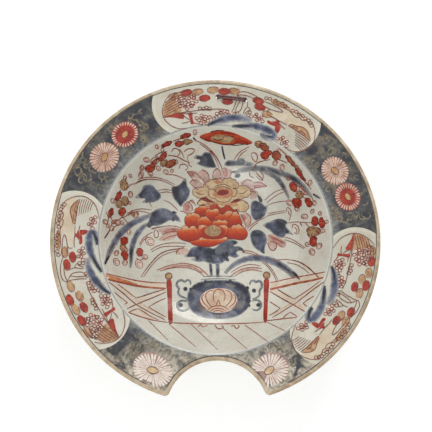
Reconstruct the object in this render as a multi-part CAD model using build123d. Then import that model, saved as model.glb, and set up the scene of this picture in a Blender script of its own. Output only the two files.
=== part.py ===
from build123d import *
import math
import os

# Barber bowl: a deep round well, a broad flat rim and a neck notch cut out of the rim.
# Z runs up the bowl's axis, the foot stands on Z = 0 and the notch faces -Y.
# Lengths are in millimetres and angles in degrees, counted from +X towards +Y.

# Porcelain body
bowl_radius = 138.0
well_mouth_radius = 97.5
well_floor_height = 12.0
well_depth = 42.5
wall_slope = 55.0
rim_rise = 4.0
wall_thickness = 5.0
floor_bend_radius = 38.0
mouth_round_radius = 6.0

# Neck notch and dressed lip
notch_radius = 41.8
notch_strip_width = 5.4
horn_radius = 4.0
lip_width = 3.0
lip_top_round = 1.9
lip_bottom_round = 1.6

# Foot ring
foot_radius = 61.0
foot_width = 5.0
foot_flare = 2.5

# Glaze and raised enamel
glaze_thickness = 0.5
enamel_thickness = 0.35
edge_line_width = 1.2
panel_border_width = 3.2
panel_end_curve = 4.5

# Hanging holes and their doubled wire
hole_rim_distance = 15.2
hole_middle_angle = 83.2
hole_spacing_angle = 11.0
hole_radius = 2.1
wire_radius = 0.85
wire_clearance = 0.12
wire_tail_length = 8.0
wire_bend_radius = 1.3

# Reserved panels on the rim: name, angle where the panel starts and where it ends
panels = {
    "left": (161.0, 227.5),
    "top": (44.2, 116.4),
    "right": (-56.0, 3.5),
}

# Chrysanthemum roundels: name, angle and share of the way from the well edge to the lip,
# then half size across and along the rim, both as shares of the rim's painted width
roundels = {
    "upper_left_red": ((130.9, 0.52), 0.29, 0.33),
    "upper_left_white": ((143.9, 0.49), 0.32, 0.36),
    "upper_right_white": ((29.0, 0.49), 0.3, 0.34),
    "upper_right_red": ((16.7, 0.5), 0.29, 0.33),
    "lower_left_white": ((243.8, 0.61), 0.34, 0.41),
    "lower_right_white": ((-68.3, 0.53), 0.34, 0.41),
}
roundel_heart_radius = 3.4

# Well painting: outlines in plan (x, y), drawn for a well mouth of this radius
well_painting_radius = 97.5
gold_peony_outline = (
    (-20, 49.5), (-17, 53), (-10, 56), (-5, 59), (0, 61.5), (7, 61.5), (15, 61), (20.5, 58), (22, 55),
    (28.5, 55), (33.5, 51), (32, 45.5), (25.5, 42.5), (31, 38), (29, 34), (21, 36), (12, 39.5), (0.5, 40),
    (-8, 41.5), (-15.5, 44),
)
red_peony_outline = (
    (-17, 34), (-13.5, 36.5), (-8, 38), (-2, 37.5), (7, 37.5), (12, 36.5), (18.5, 34.5), (21.5, 31),
    (23, 24), (25.5, 20.5), (29, 15.5), (29, 9.5), (25, 5.5), (13.5, 6.5), (6.5, 4), (1.5, 1.5),
    (-5, -0.5), (-13.5, 1), (-21.5, 3), (-28.5, 6), (-32, 11.5), (-31.5, 16), (-25, 18), (-26.5, 24),
    (-25, 28.5), (-20.5, 31),
)
upper_peony_outline = (
    (-13, 87.5), (-7.5, 91), (-0.5, 93), (8, 94), (18.5, 93), (27, 90.5), (33, 87.5), (28, 86),
    (20.5, 85), (10, 84.5), (-2.5, 86),
)
red_peony_heart = ((-2.5, 14.0), 6.8, 5.2)
gold_peony_heart = ((8.5, 50.0), 4.6, 2.6)
upper_peony_heart = ((6.5, 90.0), 5.5, 2.2)

leaf_outlines = (
    ((-69.5, 40), (-64.5, 46.5), (-62.5, 50.5), (-58.5, 52), (-54, 52.5), (-51.5, 50), (-48, 47.5),
     (-47.5, 43), (-52.5, 39.5), (-59.5, 37.5), (-63.5, 37.5), (-65.5, 40)),
    ((-25, 61), (-28, 59.5), (-30.5, 56), (-34, 54), (-38, 53), (-37.5, 47), (-36, 43), (-32, 38.5),
     (-29.5, 36), (-27, 39.5), (-24, 42), (-22.5, 47), (-21.5, 51), (-24, 54.5)),
    ((-57, 28.5), (-53.5, 32), (-48, 34.5), (-43, 34.5), (-38.5, 32), (-35, 30), (-32, 27.5), (-29.5, 22),
     (-34, 23), (-39.5, 23.5), (-43.5, 21.5), (-50, 18.5), (-54, 18.5), (-57.5, 17), (-59.5, 19), (-57.5, 24)),
    ((39, 47), (37.5, 43.5), (33.5, 41), (32.5, 35), (33, 28.5), (35, 24), (40.5, 24), (45, 28.5),
     (47.5, 34.5), (47, 39), (42.5, 41.5), (41, 45)),
    ((43, 19.5), (49.5, 22.5), (54.5, 24.5), (60, 24), (64.5, 20.5), (63, 17.5), (66.5, 12.5), (69.5, 8.5),
     (64, 10.5), (60.5, 7), (54.5, 9), (49, 14)),
    ((31.5, 9.5), (33.5, 14), (37.5, 15), (42, 14), (45.5, 10), (46.5, 4), (44.5, -1.5), (44, -7),
     (39, -4), (34, 0.5)),
    ((-27, -8.5), (-21.5, -4), (-17, -0.5), (-11, 0.5), (-5, -1.5), (-2.5, -5), (-5, -11), (-8.5, -13),
     (-14.5, -12), (-19, -10.5), (-22.5, -9.5)),
    ((-1, -3), (5, 1.5), (10, 4), (16.5, 5), (21.5, 3.5), (23.5, -0.5), (26, -4), (20.5, -3), (18, -6),
     (12.5, -7.5), (6.5, -8.5), (1, -7)),
    ((-21, 74), (-16, 78.5), (-9, 79.5), (-3.5, 76), (-1, 69), (-2.5, 66), (-9, 66.5), (-15, 68), (-21, 70)),
    ((7, 69.5), (12, 73.5), (20, 75.5), (28, 74), (35, 71.5), (27, 70.5), (17, 70)),
)
blade_routes = (
    ((-54.5, 28), (-61, 25), (-69, 21), (-75.5, 15), (-82.5, 5), (-88.5, -8), (-92.5, -22.5)),
    ((-58, 20.5), (-62, 17), (-67, 11), (-70.5, 3.5), (-72.5, -5), (-72.5, -14), (-72.5, -21)),
    ((23, 67), (31.5, 67.5), (42, 67), (53, 64.5), (61, 60), (69.5, 53), (77.5, 45), (84.5, 35.5), (88.5, 28)),
    ((50, 61.5), (55, 57), (60, 51), (65.5, 42)),
    ((10, -24.5), (15, -18.5), (22.5, -13.5), (33, -10.5), (41.5, -10), (50.5, -12), (58, -16), (65.5, -22.5),
     (70.5, -29.5), (73.5, -34)),
)
blade_widths = (2.0, 4.4, 5.0, 4.6, 3.8, 1.2)
stem_routes = (
    ((-4, -14), (-4.5, -20), (-5, -28.5)),
    ((2, -10), (1.5, -20), (0.5, -28.5)),
)
stem_width = 2.4

# Flower vase with its medallion, handles and two fence posts beside it
vase_centre = (3.5, -47.0)
vase_half_width = 28.0
vase_half_height = 17.5
medallion_half_width = 16.0
medallion_half_height = 11.0
vase_squareness = 2.5
handle_lobes = (
    (-29.0, -35.5, 6.0),
    (-30.0, -49.5, 6.5),
    (36.0, -36.5, 6.0),
    (36.5, -50.5, 6.5),
)
post_places = ((-40.0, -39.0), (45.5, 41.5))
post_top = -31.0
post_bottom = -68.5
post_width = 4.4
finial_radius = 2.9
finial_place = -26.5

# Fence rails, braces and the terrace line under them
rail_routes = (
    ((-91, -31.5), (-80.5, -31.5), (-65, -32), (-44.5, -32.5)),
    ((-90.5, -36.2), (-76.5, -36.3), (-60.5, -36.5), (-44.5, -37)),
    ((89.5, -29.5), (76.5, -29), (61, -30), (49.5, -33)),
    ((87, -36.5), (72.5, -36), (60.5, -36.5), (49, -39)),
)
rail_width = 2.0
brace_routes = (
    ((-87, -39.5), (-66.5, -54), (-44, -66)),
    ((-43.5, -41), (-56, -46), (-74.5, -58)),
    ((85, -40), (67.5, -54), (56, -60.5)),
    ((47.5, -42), (59.5, -49.5), (71, -61.5)),
)
brace_width = 1.2
terrace_routes = (
    ((-70, -63.5), (-59, -67.5), (-40.5, -70.5), (-13, -71), (17, -71.5), (41, -71), (54, -70), (64, -69)),
)
terrace_width = 1.0

# Flower dots of the plum sprays in the well
plum_radius = 3.2
red_plum_places = (
    (-82, 38), (-88.5, 23.5), (-79.5, 26.5), (-79, 2), (-78.5, -11), (-65, -5), (-57, 65), (-45, 75),
    (-42.5, 83), (-31, 85), (-37.5, 70.5), (46.5, 76), (47.5, 82.5), (61.5, 70.5), (72, 60), (68, 46),
    (71, 37.5), (80, 31), (85.5, 15), (77, 2.5),
)
gold_plum_places = (
    (-77.5, 47.5), (-79.5, 34), (-82, 14.5), (-82, -4), (-65, -13), (-51.5, 70), (-23, 88), (38.5, 82.5),
    (54, 73.5), (74, 43.5), (80.5, 9.5), (88.5, 6),
)

# Paintings in the rim panels, each point an angle and a share of the way from well edge to lip
spray_routes = {
    "left": (
        (
            (183.5, 0.0), (180.6, 0.08), (179.5, 0.17), (181.9, 0.24), (185.6, 0.23), (189.9, 0.16),
            (194.2, 0.08), (197.6, 0.01),
        ),
        (
            (189.5, 0.3), (192.1, 0.3), (196.9, 0.26), (200.8, 0.18), (204.7, 0.09), (208.5, 0.02),
        ),
    ),
    "top": (
        (
            (90.9, 0.01), (87.5, 0.08), (83.7, 0.16), (79.2, 0.21), (75.4, 0.24), (72.0, 0.22),
        ),
        (
            (78.2, -0.02), (74.8, 0.06), (69.9, 0.13), (66.3, 0.16), (62.6, 0.12), (57.3, 0.16),
        ),
    ),
    "right": (
        (
            (-14.5, -0.02), (-17.5, 0.07), (-20.2, 0.19), (-23.9, 0.28), (-27.1, 0.3), (-30.6, 0.29),
        ),
        (
            (-23.8, -0.02), (-27.1, 0.1), (-31.0, 0.17), (-35.0, 0.19), (-39.0, 0.15), (-42.5, 0.16),
        ),
    ),
}
spray_widths = (2.2, 5.0, 5.6, 5.0, 2.4)
tree_radius_share = 0.107
red_tree_places = (
    (187.8, 0.55), (190.5, 0.76), (203.5, 0.87), (208.2, 0.69), (212.5, 0.87), (100.6, 0.8),
    (94.0, 0.62), (86.0, 0.83), (84.1, 0.51), (72.2, 0.65), (-9.3, 0.85), (-20.7, 0.62), (-19.3, 0.87),
    (-30.5, 0.78), (-36.6, 0.61),
)
gold_tree_places = (
    (203.7, 0.68), (198.7, 0.71), (208.7, 0.89), (216.7, 0.92), (185.2, 0.75), (96.7, 0.84),
    (90.4, 0.82), (69.0, 0.47), (65.6, 0.75), (-13.9, 0.84), (-16.7, 0.69), (-23.4, 0.82),
    (-34.5, 0.76), (-40.9, 0.82),
)
hut_outlines = (
    ((220.7, 0.83), (219.0, 0.65), (219.9, 0.46), (221.9, 0.39), (225.0, 0.42), (225.3, 0.57),
    (223.9, 0.76)),
    ((111.9, 0.71), (106.8, 0.71), (103.2, 0.48), (104.4, 0.32), (111.3, 0.31), (113.0, 0.48)),
    ((-0.5, 0.41), (-0.5, 0.59), (-2.5, 0.76), (-5.8, 0.7), (-8.3, 0.54), (-6.1, 0.38)),
)

# Worked out from the sizes above
mouth_height = well_floor_height + well_depth
floor_corner_radius = well_mouth_radius - well_depth / math.tan(math.radians(wall_slope))
rim_gradient = rim_rise / (bowl_radius - well_mouth_radius)
notch_centre_distance = well_mouth_radius + notch_strip_width + notch_radius
hole_circle_radius = bowl_radius - hole_rim_distance
rim_field_inner = well_mouth_radius + edge_line_width
rim_field_outer = bowl_radius - lip_width
rim_field_width = rim_field_outer - rim_field_inner
well_painting_scale = well_mouth_radius / well_painting_radius
stock_margin = 6.0
stock_radius = bowl_radius + stock_margin
stock_top = mouth_height + rim_gradient * (stock_radius - well_mouth_radius) + stock_margin
enamel_top = glaze_thickness + enamel_thickness


def front_corners():
    """Corner points (radius, height) of the front surface, from the axis outwards."""
    return [
        (0.0, well_floor_height),
        (floor_corner_radius, well_floor_height),
        (well_mouth_radius, mouth_height),
        (stock_radius, mouth_height + rim_gradient * (stock_radius - well_mouth_radius)),
    ]


def back_corners():
    """Corner points of the back surface, one wall thickness behind the front."""
    half_bend = math.radians(wall_slope) / 2
    rim_angle = math.atan(rim_gradient)
    half_mouth_bend = (math.radians(wall_slope) - rim_angle) / 2
    mouth_direction = math.radians(wall_slope) - half_mouth_bend
    mouth_shift = wall_thickness / math.cos(half_mouth_bend)
    return [
        (0.0, well_floor_height - wall_thickness),
        (floor_corner_radius + wall_thickness * math.tan(half_bend), well_floor_height - wall_thickness),
        (well_mouth_radius + mouth_shift * math.sin(mouth_direction),
         mouth_height - mouth_shift * math.cos(mouth_direction)),
        (stock_radius, front_corners()[3][1] - wall_thickness / math.cos(rim_angle)),
    ]


def profile_line(corners, radii, lift):
    """The line through the corners with rounded bends, raised by lift."""
    raised = [(radius, height + lift) for radius, height in corners]
    return FilletPolyline(*raised, radius=radii)


def turned(lower, upper):
    """The round solid between two profile lines that start on the axis."""
    section = make_face([
        lower.edges(),
        Line(lower @ 1, upper @ 1),
        upper.edges(),
        Line(upper @ 0, lower @ 0),
    ])
    return revolve(Plane.XZ * section, axis=Axis.Z)


def front_line(lift):
    return profile_line(front_corners(), [floor_bend_radius, mouth_round_radius], lift)


def back_line():
    mouth_radius_behind = max(mouth_round_radius - wall_thickness, 0.5)
    return profile_line(back_corners(), [floor_bend_radius + wall_thickness, mouth_radius_behind], 0.0)


def column(sketch):
    """The sketch as an upright column that reaches through the whole bowl."""
    return extrude(sketch, amount=stock_top)


def plan_outline(inset):
    """The bowl seen from above: a disc with the neck notch cut out and its horns rounded."""
    disc = Circle(bowl_radius - inset)
    notch = Pos(0, -notch_centre_distance) * Rot(0, 0, -90) * Circle(notch_radius + inset)
    outline = disc - notch
    horns = outline.vertices().sort_by(Axis.Y)[0:2]
    return fillet(horns, max(horn_radius - inset, 1.0))


def hole_place(side):
    """Centre of a hanging hole in plan: side is +1 for the left hole, -1 for the right one."""
    angle = math.radians(hole_middle_angle + side * hole_spacing_angle / 2)
    return Vector(hole_circle_radius * math.cos(angle), hole_circle_radius * math.sin(angle))


def hole_columns():
    holes = Sketch()
    for side in (1, -1):
        holes += Pos(hole_place(side)) * Circle(hole_radius)
    return column(holes)


def make_porcelain_body():
    stock = turned(back_line(), front_line(0.0))
    return (stock & column(plan_outline(lip_width))) - hole_columns()


def make_rim_lip():
    """The brown-dressed lip: the outer strip of the rim, with its outer edges rounded over."""
    stock = turned(back_line(), front_line(glaze_thickness))
    strip = stock & column(plan_outline(0.0) - plan_outline(lip_width))
    outer_faces = [face for face in strip.faces() if is_outer_wall(face)]
    top_edges = []
    bottom_edges = []
    for face in outer_faces:
        ordered = face.edges().filter_by(lambda edge: not is_upright(edge))
        middle = face.center().Z
        top_edges += [edge for edge in ordered if edge.center().Z > middle]
        bottom_edges += [edge for edge in ordered if edge.center().Z < middle]
    strip = fillet(top_edges, lip_top_round)
    low_edges = [match_edge(strip, edge) for edge in bottom_edges]
    return fillet(low_edges, lip_bottom_round)


def is_upright(edge):
    start, end = edge @ 0, edge @ 1
    return math.hypot(end.X - start.X, end.Y - start.Y) < 0.01


def match_edge(solid, edge):
    """The edge of the solid that lies nearest to an edge of its earlier form."""
    return min(solid.edges(), key=lambda other: (other.center() - edge.center()).length)


def is_outer_wall(face):
    """True for an upright face that lies on the outline of the whole bowl."""
    point = face.position_at(0.5, 0.5)
    normal = face.normal_at(0.5, 0.5)
    if abs(normal.Z) > 0.1:
        return False
    flat_distance = math.hypot(point.X, point.Y)
    notch_distance = math.hypot(point.X, point.Y + notch_centre_distance)
    on_disc = flat_distance > bowl_radius - horn_radius / 2
    on_notch = notch_distance < notch_radius + lip_width / 2
    outwards = normal.X * point.X + normal.Y * point.Y > 0
    return (on_disc and outwards) or on_notch


def make_foot_ring(body):
    """The turned foot ring, cut to seat against the underside of the well."""
    section = make_face(Polyline(
        (foot_radius - foot_width, 0.0),
        (foot_radius, 0.0),
        (foot_radius + foot_flare, well_floor_height),
        (foot_radius - foot_width - foot_flare, well_floor_height),
        close=True,
    ))
    blank = revolve(Plane.XZ * section, axis=Axis.Z)
    ring = blank - body
    return ring.solids().sort_by(Axis.Z)[0]


def ring_sketch(inner_radius, outer_radius):
    return Circle(outer_radius) - Circle(inner_radius)


def panel_sketch(start, end, grow):
    """A reserved panel between the well edge and the lip, its two ends curved outwards."""
    middle = (rim_field_inner + rim_field_outer) / 2
    start -= math.degrees(grow / middle)
    end += math.degrees(grow / middle)
    near, far = rim_field_inner - stock_margin, bowl_radius + stock_margin
    corner_curve = panel_end_curve * ((far - near) / rim_field_width) ** 2
    start_low, start_middle, start_high = [
        polar(near, start + corner_curve), polar(middle, start), polar(far, start + corner_curve)]
    end_low, end_middle, end_high = [
        polar(near, end - corner_curve), polar(middle, end), polar(far, end - corner_curve)]
    centre = (start + end) / 2
    shape = make_face([
        ThreePointArc(start_low, start_middle, start_high),
        ThreePointArc(start_high, polar(far, centre), end_high),
        ThreePointArc(end_high, end_middle, end_low),
        ThreePointArc(end_low, polar(near, centre), start_low),
    ])
    return shape & ring_sketch(rim_field_inner, rim_field_outer)


def polar(radius, angle):
    return Vector(radius * math.cos(math.radians(angle)), radius * math.sin(math.radians(angle)))


def rim_point(place):
    """A place on the rim's painted width, given as an angle and a share from well edge to lip."""
    angle, share = place
    return polar(rim_field_inner + share * rim_field_width, angle)


def roundel_sketch(place, across, along):
    """A chrysanthemum roundel, a little longer along the rim than across it."""
    oval = Ellipse(across * rim_field_width, along * rim_field_width)
    return Pos(rim_point(place)) * Rot(0, 0, place[0]) * oval


def blob(points):
    """A closed brush shape through its outline points."""
    return make_face(Spline(*points, periodic=True))


def brush_stroke(route, widths):
    """A flat stroke along a route; widths are its full widths at even steps."""
    centre_line = Spline(*route)
    left_side = []
    right_side = []
    for step, width in enumerate(widths):
        place = step / (len(widths) - 1)
        along = centre_line % place
        sideways = Vector(-along.Y, along.X) * (width / 2)
        left_side.append((centre_line @ place) + sideways)
        right_side.append((centre_line @ place) - sideways)
    return make_face([
        Spline(*left_side),
        Line(left_side[-1], right_side[-1]),
        Spline(*reversed(right_side)),
        Line(right_side[0], left_side[0]),
    ])


def even_strokes(routes, width):
    strokes = Sketch()
    for route in routes:
        strokes += brush_stroke(route, [width] * 4)
    return strokes


def rounded_box_outline(half_width, half_height):
    """A superellipse, fuller than an oval, like the swollen side of the painted vase."""
    points = []
    for step in range(16):
        angle = 2 * math.pi * step / 16
        cosine, sine = math.cos(angle), math.sin(angle)
        points.append((
            half_width * math.copysign(abs(cosine) ** (2 / vase_squareness), cosine),
            half_height * math.copysign(abs(sine) ** (2 / vase_squareness), sine),
        ))
    return blob(points)


def dots(places, radius):
    group = Sketch()
    for place in places:
        group += Pos(place) * Circle(radius)
    return group


def heart_sketch(heart):
    centre, half_width, half_height = heart
    return Pos(*centre) * Ellipse(half_width, half_height)


def fence_post_sketch():
    posts = Sketch()
    for top_place, bottom_place in post_places:
        posts += brush_stroke(((top_place, post_top), (bottom_place, post_bottom)), [post_width] * 2)
        posts += Pos(top_place, finial_place) * Circle(finial_radius)
    return posts


def make_rim_fields():
    """Glaze fields of the rim, side by side in one layer: edge line, panels, borders and grounds."""
    fields = {
        "well_glaze": Circle(well_mouth_radius),
        "well_edge_line": ring_sketch(well_mouth_radius, rim_field_inner),
    }
    ground = plan_outline(lip_width) - Circle(rim_field_inner)
    for name, (start, end) in panels.items():
        panel = panel_sketch(start, end, -panel_border_width)
        framed = panel_sketch(start, end, 0.0)
        fields[f"rim_panel_{name}"] = panel
        fields[f"panel_border_{name}"] = framed - panel
        ground -= framed
    hearts = Sketch()
    for name, (place, across, along) in roundels.items():
        roundel = roundel_sketch(place, across, along) & ground
        heart = Pos(rim_point(place)) * Circle(roundel_heart_radius)
        fields[f"chrysanthemum_{name}"] = roundel - heart
        ground -= roundel
        hearts += heart
    fields["chrysanthemum_hearts"] = hearts
    grounds = ground.faces().sort_by(Axis.Y)
    upper = sorted(grounds[1:], key=lambda face: face.center().X)
    fields["cobalt_ground_lower"] = Sketch() + grounds[0]
    fields["cobalt_ground_upper_left"] = Sketch() + upper[0]
    fields["cobalt_ground_upper_right"] = Sketch() + upper[-1]
    return fields


def well_painting():
    """Raised shapes of the well, front to back, as large as the well they are painted in."""
    vase = Pos(*vase_centre) * rounded_box_outline(vase_half_width, vase_half_height)
    medallion = Pos(*vase_centre) * rounded_box_outline(medallion_half_width, medallion_half_height)
    handles = Sketch()
    for x, y, radius in handle_lobes:
        handles += Pos(x, y) * Circle(radius)
    blades = Sketch()
    for route in blade_routes:
        blades += brush_stroke(route, blade_widths)
    leaves = Sketch()
    for outline in leaf_outlines:
        leaves += blob(outline)
    drawn = {
        "red_peony_heart": heart_sketch(red_peony_heart),
        "gold_peony_heart": heart_sketch(gold_peony_heart),
        "upper_peony_heart": heart_sketch(upper_peony_heart),
        "gold_peony": blob(gold_peony_outline),
        "red_peony": blob(red_peony_outline),
        "upper_peony": blob(upper_peony_outline),
        "vase_medallion": medallion,
        "vase_body": vase,
        "vase_handles": handles,
        "fence_posts": fence_post_sketch(),
        "red_plum_flowers": dots(red_plum_places, plum_radius),
        "gold_plum_flowers": dots(gold_plum_places, plum_radius),
        "flower_stems": even_strokes(stem_routes, stem_width),
        "blue_leaves": leaves,
        "blue_blades": blades,
        "fence_rails": even_strokes(rail_routes, rail_width),
        "fence_braces": even_strokes(brace_routes, brace_width),
        "terrace_line": even_strokes(terrace_routes, terrace_width),
    }
    return {name: shape.scale(well_painting_scale) for name, shape in drawn.items()}


def rim_painting():
    """Raised shapes of the rim panels, front to back."""
    shapes = {}
    for side, routes in spray_routes.items():
        spray = Sketch()
        for route in routes:
            spray += brush_stroke([rim_point(place) for place in route], spray_widths)
        shapes[f"leaf_spray_{side}"] = spray
    huts = Sketch()
    for outline in hut_outlines:
        huts += blob([rim_point(place) for place in outline])
    shapes["thatched_huts"] = huts
    tree_radius = tree_radius_share * rim_field_width
    shapes["red_panel_trees"] = dots([rim_point(place) for place in red_tree_places], tree_radius)
    shapes["gold_panel_trees"] = dots([rim_point(place) for place in gold_tree_places], tree_radius)
    return shapes


def make_enamels():
    """Every raised shape, trimmed where the wire lies and where one in front covers it."""
    covered = hole_clearance_sketch()
    trimmed = {}
    for shapes in (well_painting(), rim_painting()):
        for name, shape in shapes.items():
            trimmed[name] = shape - covered
            covered += shape
    return trimmed


def hole_clearance_sketch():
    """The strip of rim that the wire lies on, kept free of raised enamel."""
    left, right = hole_place(1), hole_place(-1)
    strip = SlotCenterToCenter((right - left).length, 2 * (hole_radius + wire_radius))
    middle = (left + right) * 0.5
    turn = math.degrees(math.atan2(right.Y - left.Y, right.X - left.X))
    return Pos(middle) * Rot(0, 0, turn) * strip


def make_layer(sketch, low, high):
    """The part of the coat between two lifts above the porcelain that the sketch covers."""
    coat = turned(front_line(low), front_line(high))
    return coat & column(sketch)


def rim_height(radius):
    """Height of the porcelain's front surface on the flat rim."""
    return mouth_height + rim_gradient * (radius - well_mouth_radius)


def make_hanging_wire():
    """One brown wire, passed twice through the two holes, with its ends side by side behind the rim."""
    left, right = hole_place(1), hole_place(-1)
    span = (right - left).length
    along = (right - left).normalized()
    outward = Vector(-along.Y, along.X)
    if outward.dot(left) < 0:
        outward = outward * -1
    strand = wire_radius + wire_clearance / 2
    front = rim_height(hole_circle_radius) + glaze_thickness + wire_radius + 2 * wire_clearance
    back_surface = rim_height(hole_circle_radius) - wall_thickness / math.cos(math.atan(rim_gradient))
    behind = back_surface - wire_radius - 2 * wire_clearance
    far_behind = behind - 2 * strand - wire_clearance
    tail_end = far_behind - wire_tail_length
    middle = span / 2

    def place(distance, side, height):
        point = left + along * distance + outward * (side * strand)
        return Vector(point.X, point.Y, height)

    route = [
        place(middle - strand, 1, tail_end),
        place(middle - strand, 1, far_behind),
        place(0, 1, far_behind),
        place(0, 1, front),
        place(span, 1, front),
        place(span, 1, behind),
        place(0, -1, behind),
        place(0, -1, front),
        place(span, -1, front),
        place(span, -1, far_behind),
        place(middle + strand, 1, far_behind),
        place(middle + strand, 1, tail_end),
    ]
    path = FilletPolyline(*route, radius=wire_bend_radius)
    section = Plane(origin=path @ 0, z_dir=path % 0) * Circle(wire_radius)
    wire = sweep(section, path=path)
    length = path.length
    print(f"hanging wire: length {length:.1f} mm, bend radius {wire_bend_radius} mm")
    print(f"hanging wire: volume {wire.volume:.2f}, section times length {math.pi * wire_radius ** 2 * length:.2f}")
    return wire


def write_part(name, part):
    solids = part.solids()
    whole = solids[0] if len(solids) == 1 else Compound(children=list(solids))
    export_step(whole, f"parts/{name}.step")
    print(f"{name}: {len(solids)} solid(s), {sum(solid.volume for solid in solids):.1f} mm3")


def main():
    os.makedirs("parts", exist_ok=True)
    body = make_porcelain_body()
    write_part("porcelain_body", body)
    write_part("foot_ring", make_foot_ring(body))
    write_part("rim_lip", make_rim_lip())
    holes = hole_columns()
    for name, sketch in make_rim_fields().items():
        write_part(name, make_layer(sketch, 0.0, glaze_thickness) - holes)
    for name, sketch in make_enamels().items():
        write_part(name, make_layer(sketch, glaze_thickness, enamel_top))
    write_part("hanging_wire", make_hanging_wire())


main()
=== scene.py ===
# %% [markdown]
# The bowl and its frame.
# A barber bowl is a deep round well with a broad flat rim, and a notch in the rim for the neck.
# This one is porcelain, painted in cobalt blue under the glaze and in iron red, pink and worn
# gold over it. The turned body is a solid model already, so it is loaded as a fixed frame, and
# this script gives it glazes and lays the painting on it, stroke by stroke, as thin raised enamel.
# The painting could be an image on the surface, but strokes as real shapes keep their edges and
# their slight thickness from every side, which is how overglaze enamel catches the light.

# %% Load the frame
import math
import random

import bpy
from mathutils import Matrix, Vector, noise
from mathutils.geometry import delaunay_2d_cdt


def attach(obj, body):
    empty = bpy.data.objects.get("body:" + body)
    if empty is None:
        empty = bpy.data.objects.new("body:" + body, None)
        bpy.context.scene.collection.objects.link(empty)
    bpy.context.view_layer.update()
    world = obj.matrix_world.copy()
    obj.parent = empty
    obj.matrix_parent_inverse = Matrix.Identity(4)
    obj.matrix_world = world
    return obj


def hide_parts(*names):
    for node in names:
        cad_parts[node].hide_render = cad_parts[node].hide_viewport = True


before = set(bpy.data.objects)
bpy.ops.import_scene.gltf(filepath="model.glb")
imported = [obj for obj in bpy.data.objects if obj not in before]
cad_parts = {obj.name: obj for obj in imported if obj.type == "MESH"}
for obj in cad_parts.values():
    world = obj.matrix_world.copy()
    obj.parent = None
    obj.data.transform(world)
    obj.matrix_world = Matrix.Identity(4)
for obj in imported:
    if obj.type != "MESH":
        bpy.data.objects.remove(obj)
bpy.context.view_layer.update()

print("solid pieces in the frame:", len(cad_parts))

# %% [markdown]
# The form of the front.
# Everything painted follows one surface: the flat floor of the well, its bend, the sloping wall,
# the small round at the mouth and the nearly flat rim. A height could be read from the loaded
# mesh for every stroke, but the potter's few sizes give it exactly, and as smoothly as it was
# thrown. Lengths here are in millimetres, and one factor turns them into Blender's metres.

# %% Sizes of the bowl, in millimetres
MM = 0.001
bowl_radius = 138.0
well_mouth_radius = 97.5
well_floor_height = 12.0
well_depth = 42.5
wall_slope = math.radians(55.0)
rim_rise = 4.0
floor_bend_radius = 38.0
mouth_round_radius = 6.0
glaze_thickness = 0.5
lip_width = 3.0
edge_line_width = 1.2

mouth_height = well_floor_height + well_depth
floor_corner_radius = well_mouth_radius - well_depth / math.tan(wall_slope)
rim_angle = math.atan(rim_rise / (bowl_radius - well_mouth_radius))
bend_reach = floor_bend_radius * math.tan(wall_slope / 2)
mouth_reach = mouth_round_radius * math.tan((wall_slope - rim_angle) / 2)
bend_start = floor_corner_radius - bend_reach
bend_end = floor_corner_radius + bend_reach * math.cos(wall_slope)
mouth_start = well_mouth_radius - mouth_reach * math.cos(wall_slope)
mouth_end = well_mouth_radius + mouth_reach * math.cos(rim_angle)
rim_inner = well_mouth_radius + edge_line_width
rim_outer = bowl_radius - lip_width
print("bend from radius", round(bend_start, 1), "to", round(bend_end, 1), "mm")
print("rim from", round(mouth_end, 1), "mm")


# %% Height of the front at a distance from the axis
def porcelain_height(radius):
    """Height of the porcelain's front surface at a distance from the bowl's axis."""
    if radius <= bend_start:
        return well_floor_height
    if radius <= bend_end:
        across = radius - bend_start
        return well_floor_height + floor_bend_radius - math.sqrt(floor_bend_radius ** 2 - across ** 2)
    if radius <= mouth_start:
        return well_floor_height + (radius - floor_corner_radius) * math.tan(wall_slope)
    if radius <= mouth_end:
        centre_radius = mouth_start + mouth_round_radius * math.sin(wall_slope)
        top = well_floor_height + (mouth_start - floor_corner_radius) * math.tan(wall_slope)
        centre_height = top - mouth_round_radius * math.cos(wall_slope)
        across = radius - centre_radius
        return centre_height + math.sqrt(mouth_round_radius ** 2 - across ** 2)
    return mouth_height + (radius - well_mouth_radius) * math.tan(rim_angle)


def on_bowl(x, y, lift):
    """The point over (x, y) that stands lift above the porcelain, in metres."""
    return Vector((x, y, porcelain_height(math.hypot(x, y)) + lift)) * MM


print("the lip is", round(porcelain_height(bowl_radius), 1), "mm high")

# %% [markdown]
# The camera.
# The photograph looks at the bowl almost straight on, a little from the notch's side. The view
# could be guessed and nudged by eye, but three circles of known size, the lip, the well's mouth
# and the notch, fix it: the values below bring all three onto their outlines in the photograph.

# %% Camera at the photograph's angle
photo_size = 432
sensor_width = 36.0
focal_pixels = 954.9
camera_place = Vector((-22.05, -163.84, 837.47))
camera_back = Vector((-0.02777, -0.22577, 0.97378)).normalized()
camera_roll = math.radians(-0.5)

level = Vector((0.0, 1.0, 0.0)).cross(camera_back).normalized()
upright = camera_back.cross(level)
view_right = level * math.cos(camera_roll) + upright * math.sin(camera_roll)
view_up = upright * math.cos(camera_roll) - level * math.sin(camera_roll)

camera_data = bpy.data.cameras.new("bowl_camera")
camera_data.sensor_width = sensor_width
camera_data.lens = focal_pixels / photo_size * sensor_width
camera_data.clip_start = 0.05
camera_data.clip_end = 20.0
camera = bpy.data.objects.new("bowl_camera", camera_data)
bpy.context.scene.collection.objects.link(camera)
turned = camera.matrix_world.to_3x3()
for column, axis in enumerate((view_right, view_up, camera_back)):
    for row in range(3):
        turned[row][column] = axis[row]
camera.matrix_world = turned.to_4x4()
camera.location = camera_place * MM
bpy.context.scene.camera = camera
print("lens", round(camera_data.lens, 2), "mm")

# %% [markdown]
# From the photograph to the bowl.
# The brush strokes are drawn as points in the photograph's pixels. Each point is sent along its
# line of sight until it meets the glaze, so a leaf that curls up the wall of the well gets its
# true length there. Halving the distance again and again finds the meeting point simply.

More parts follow.
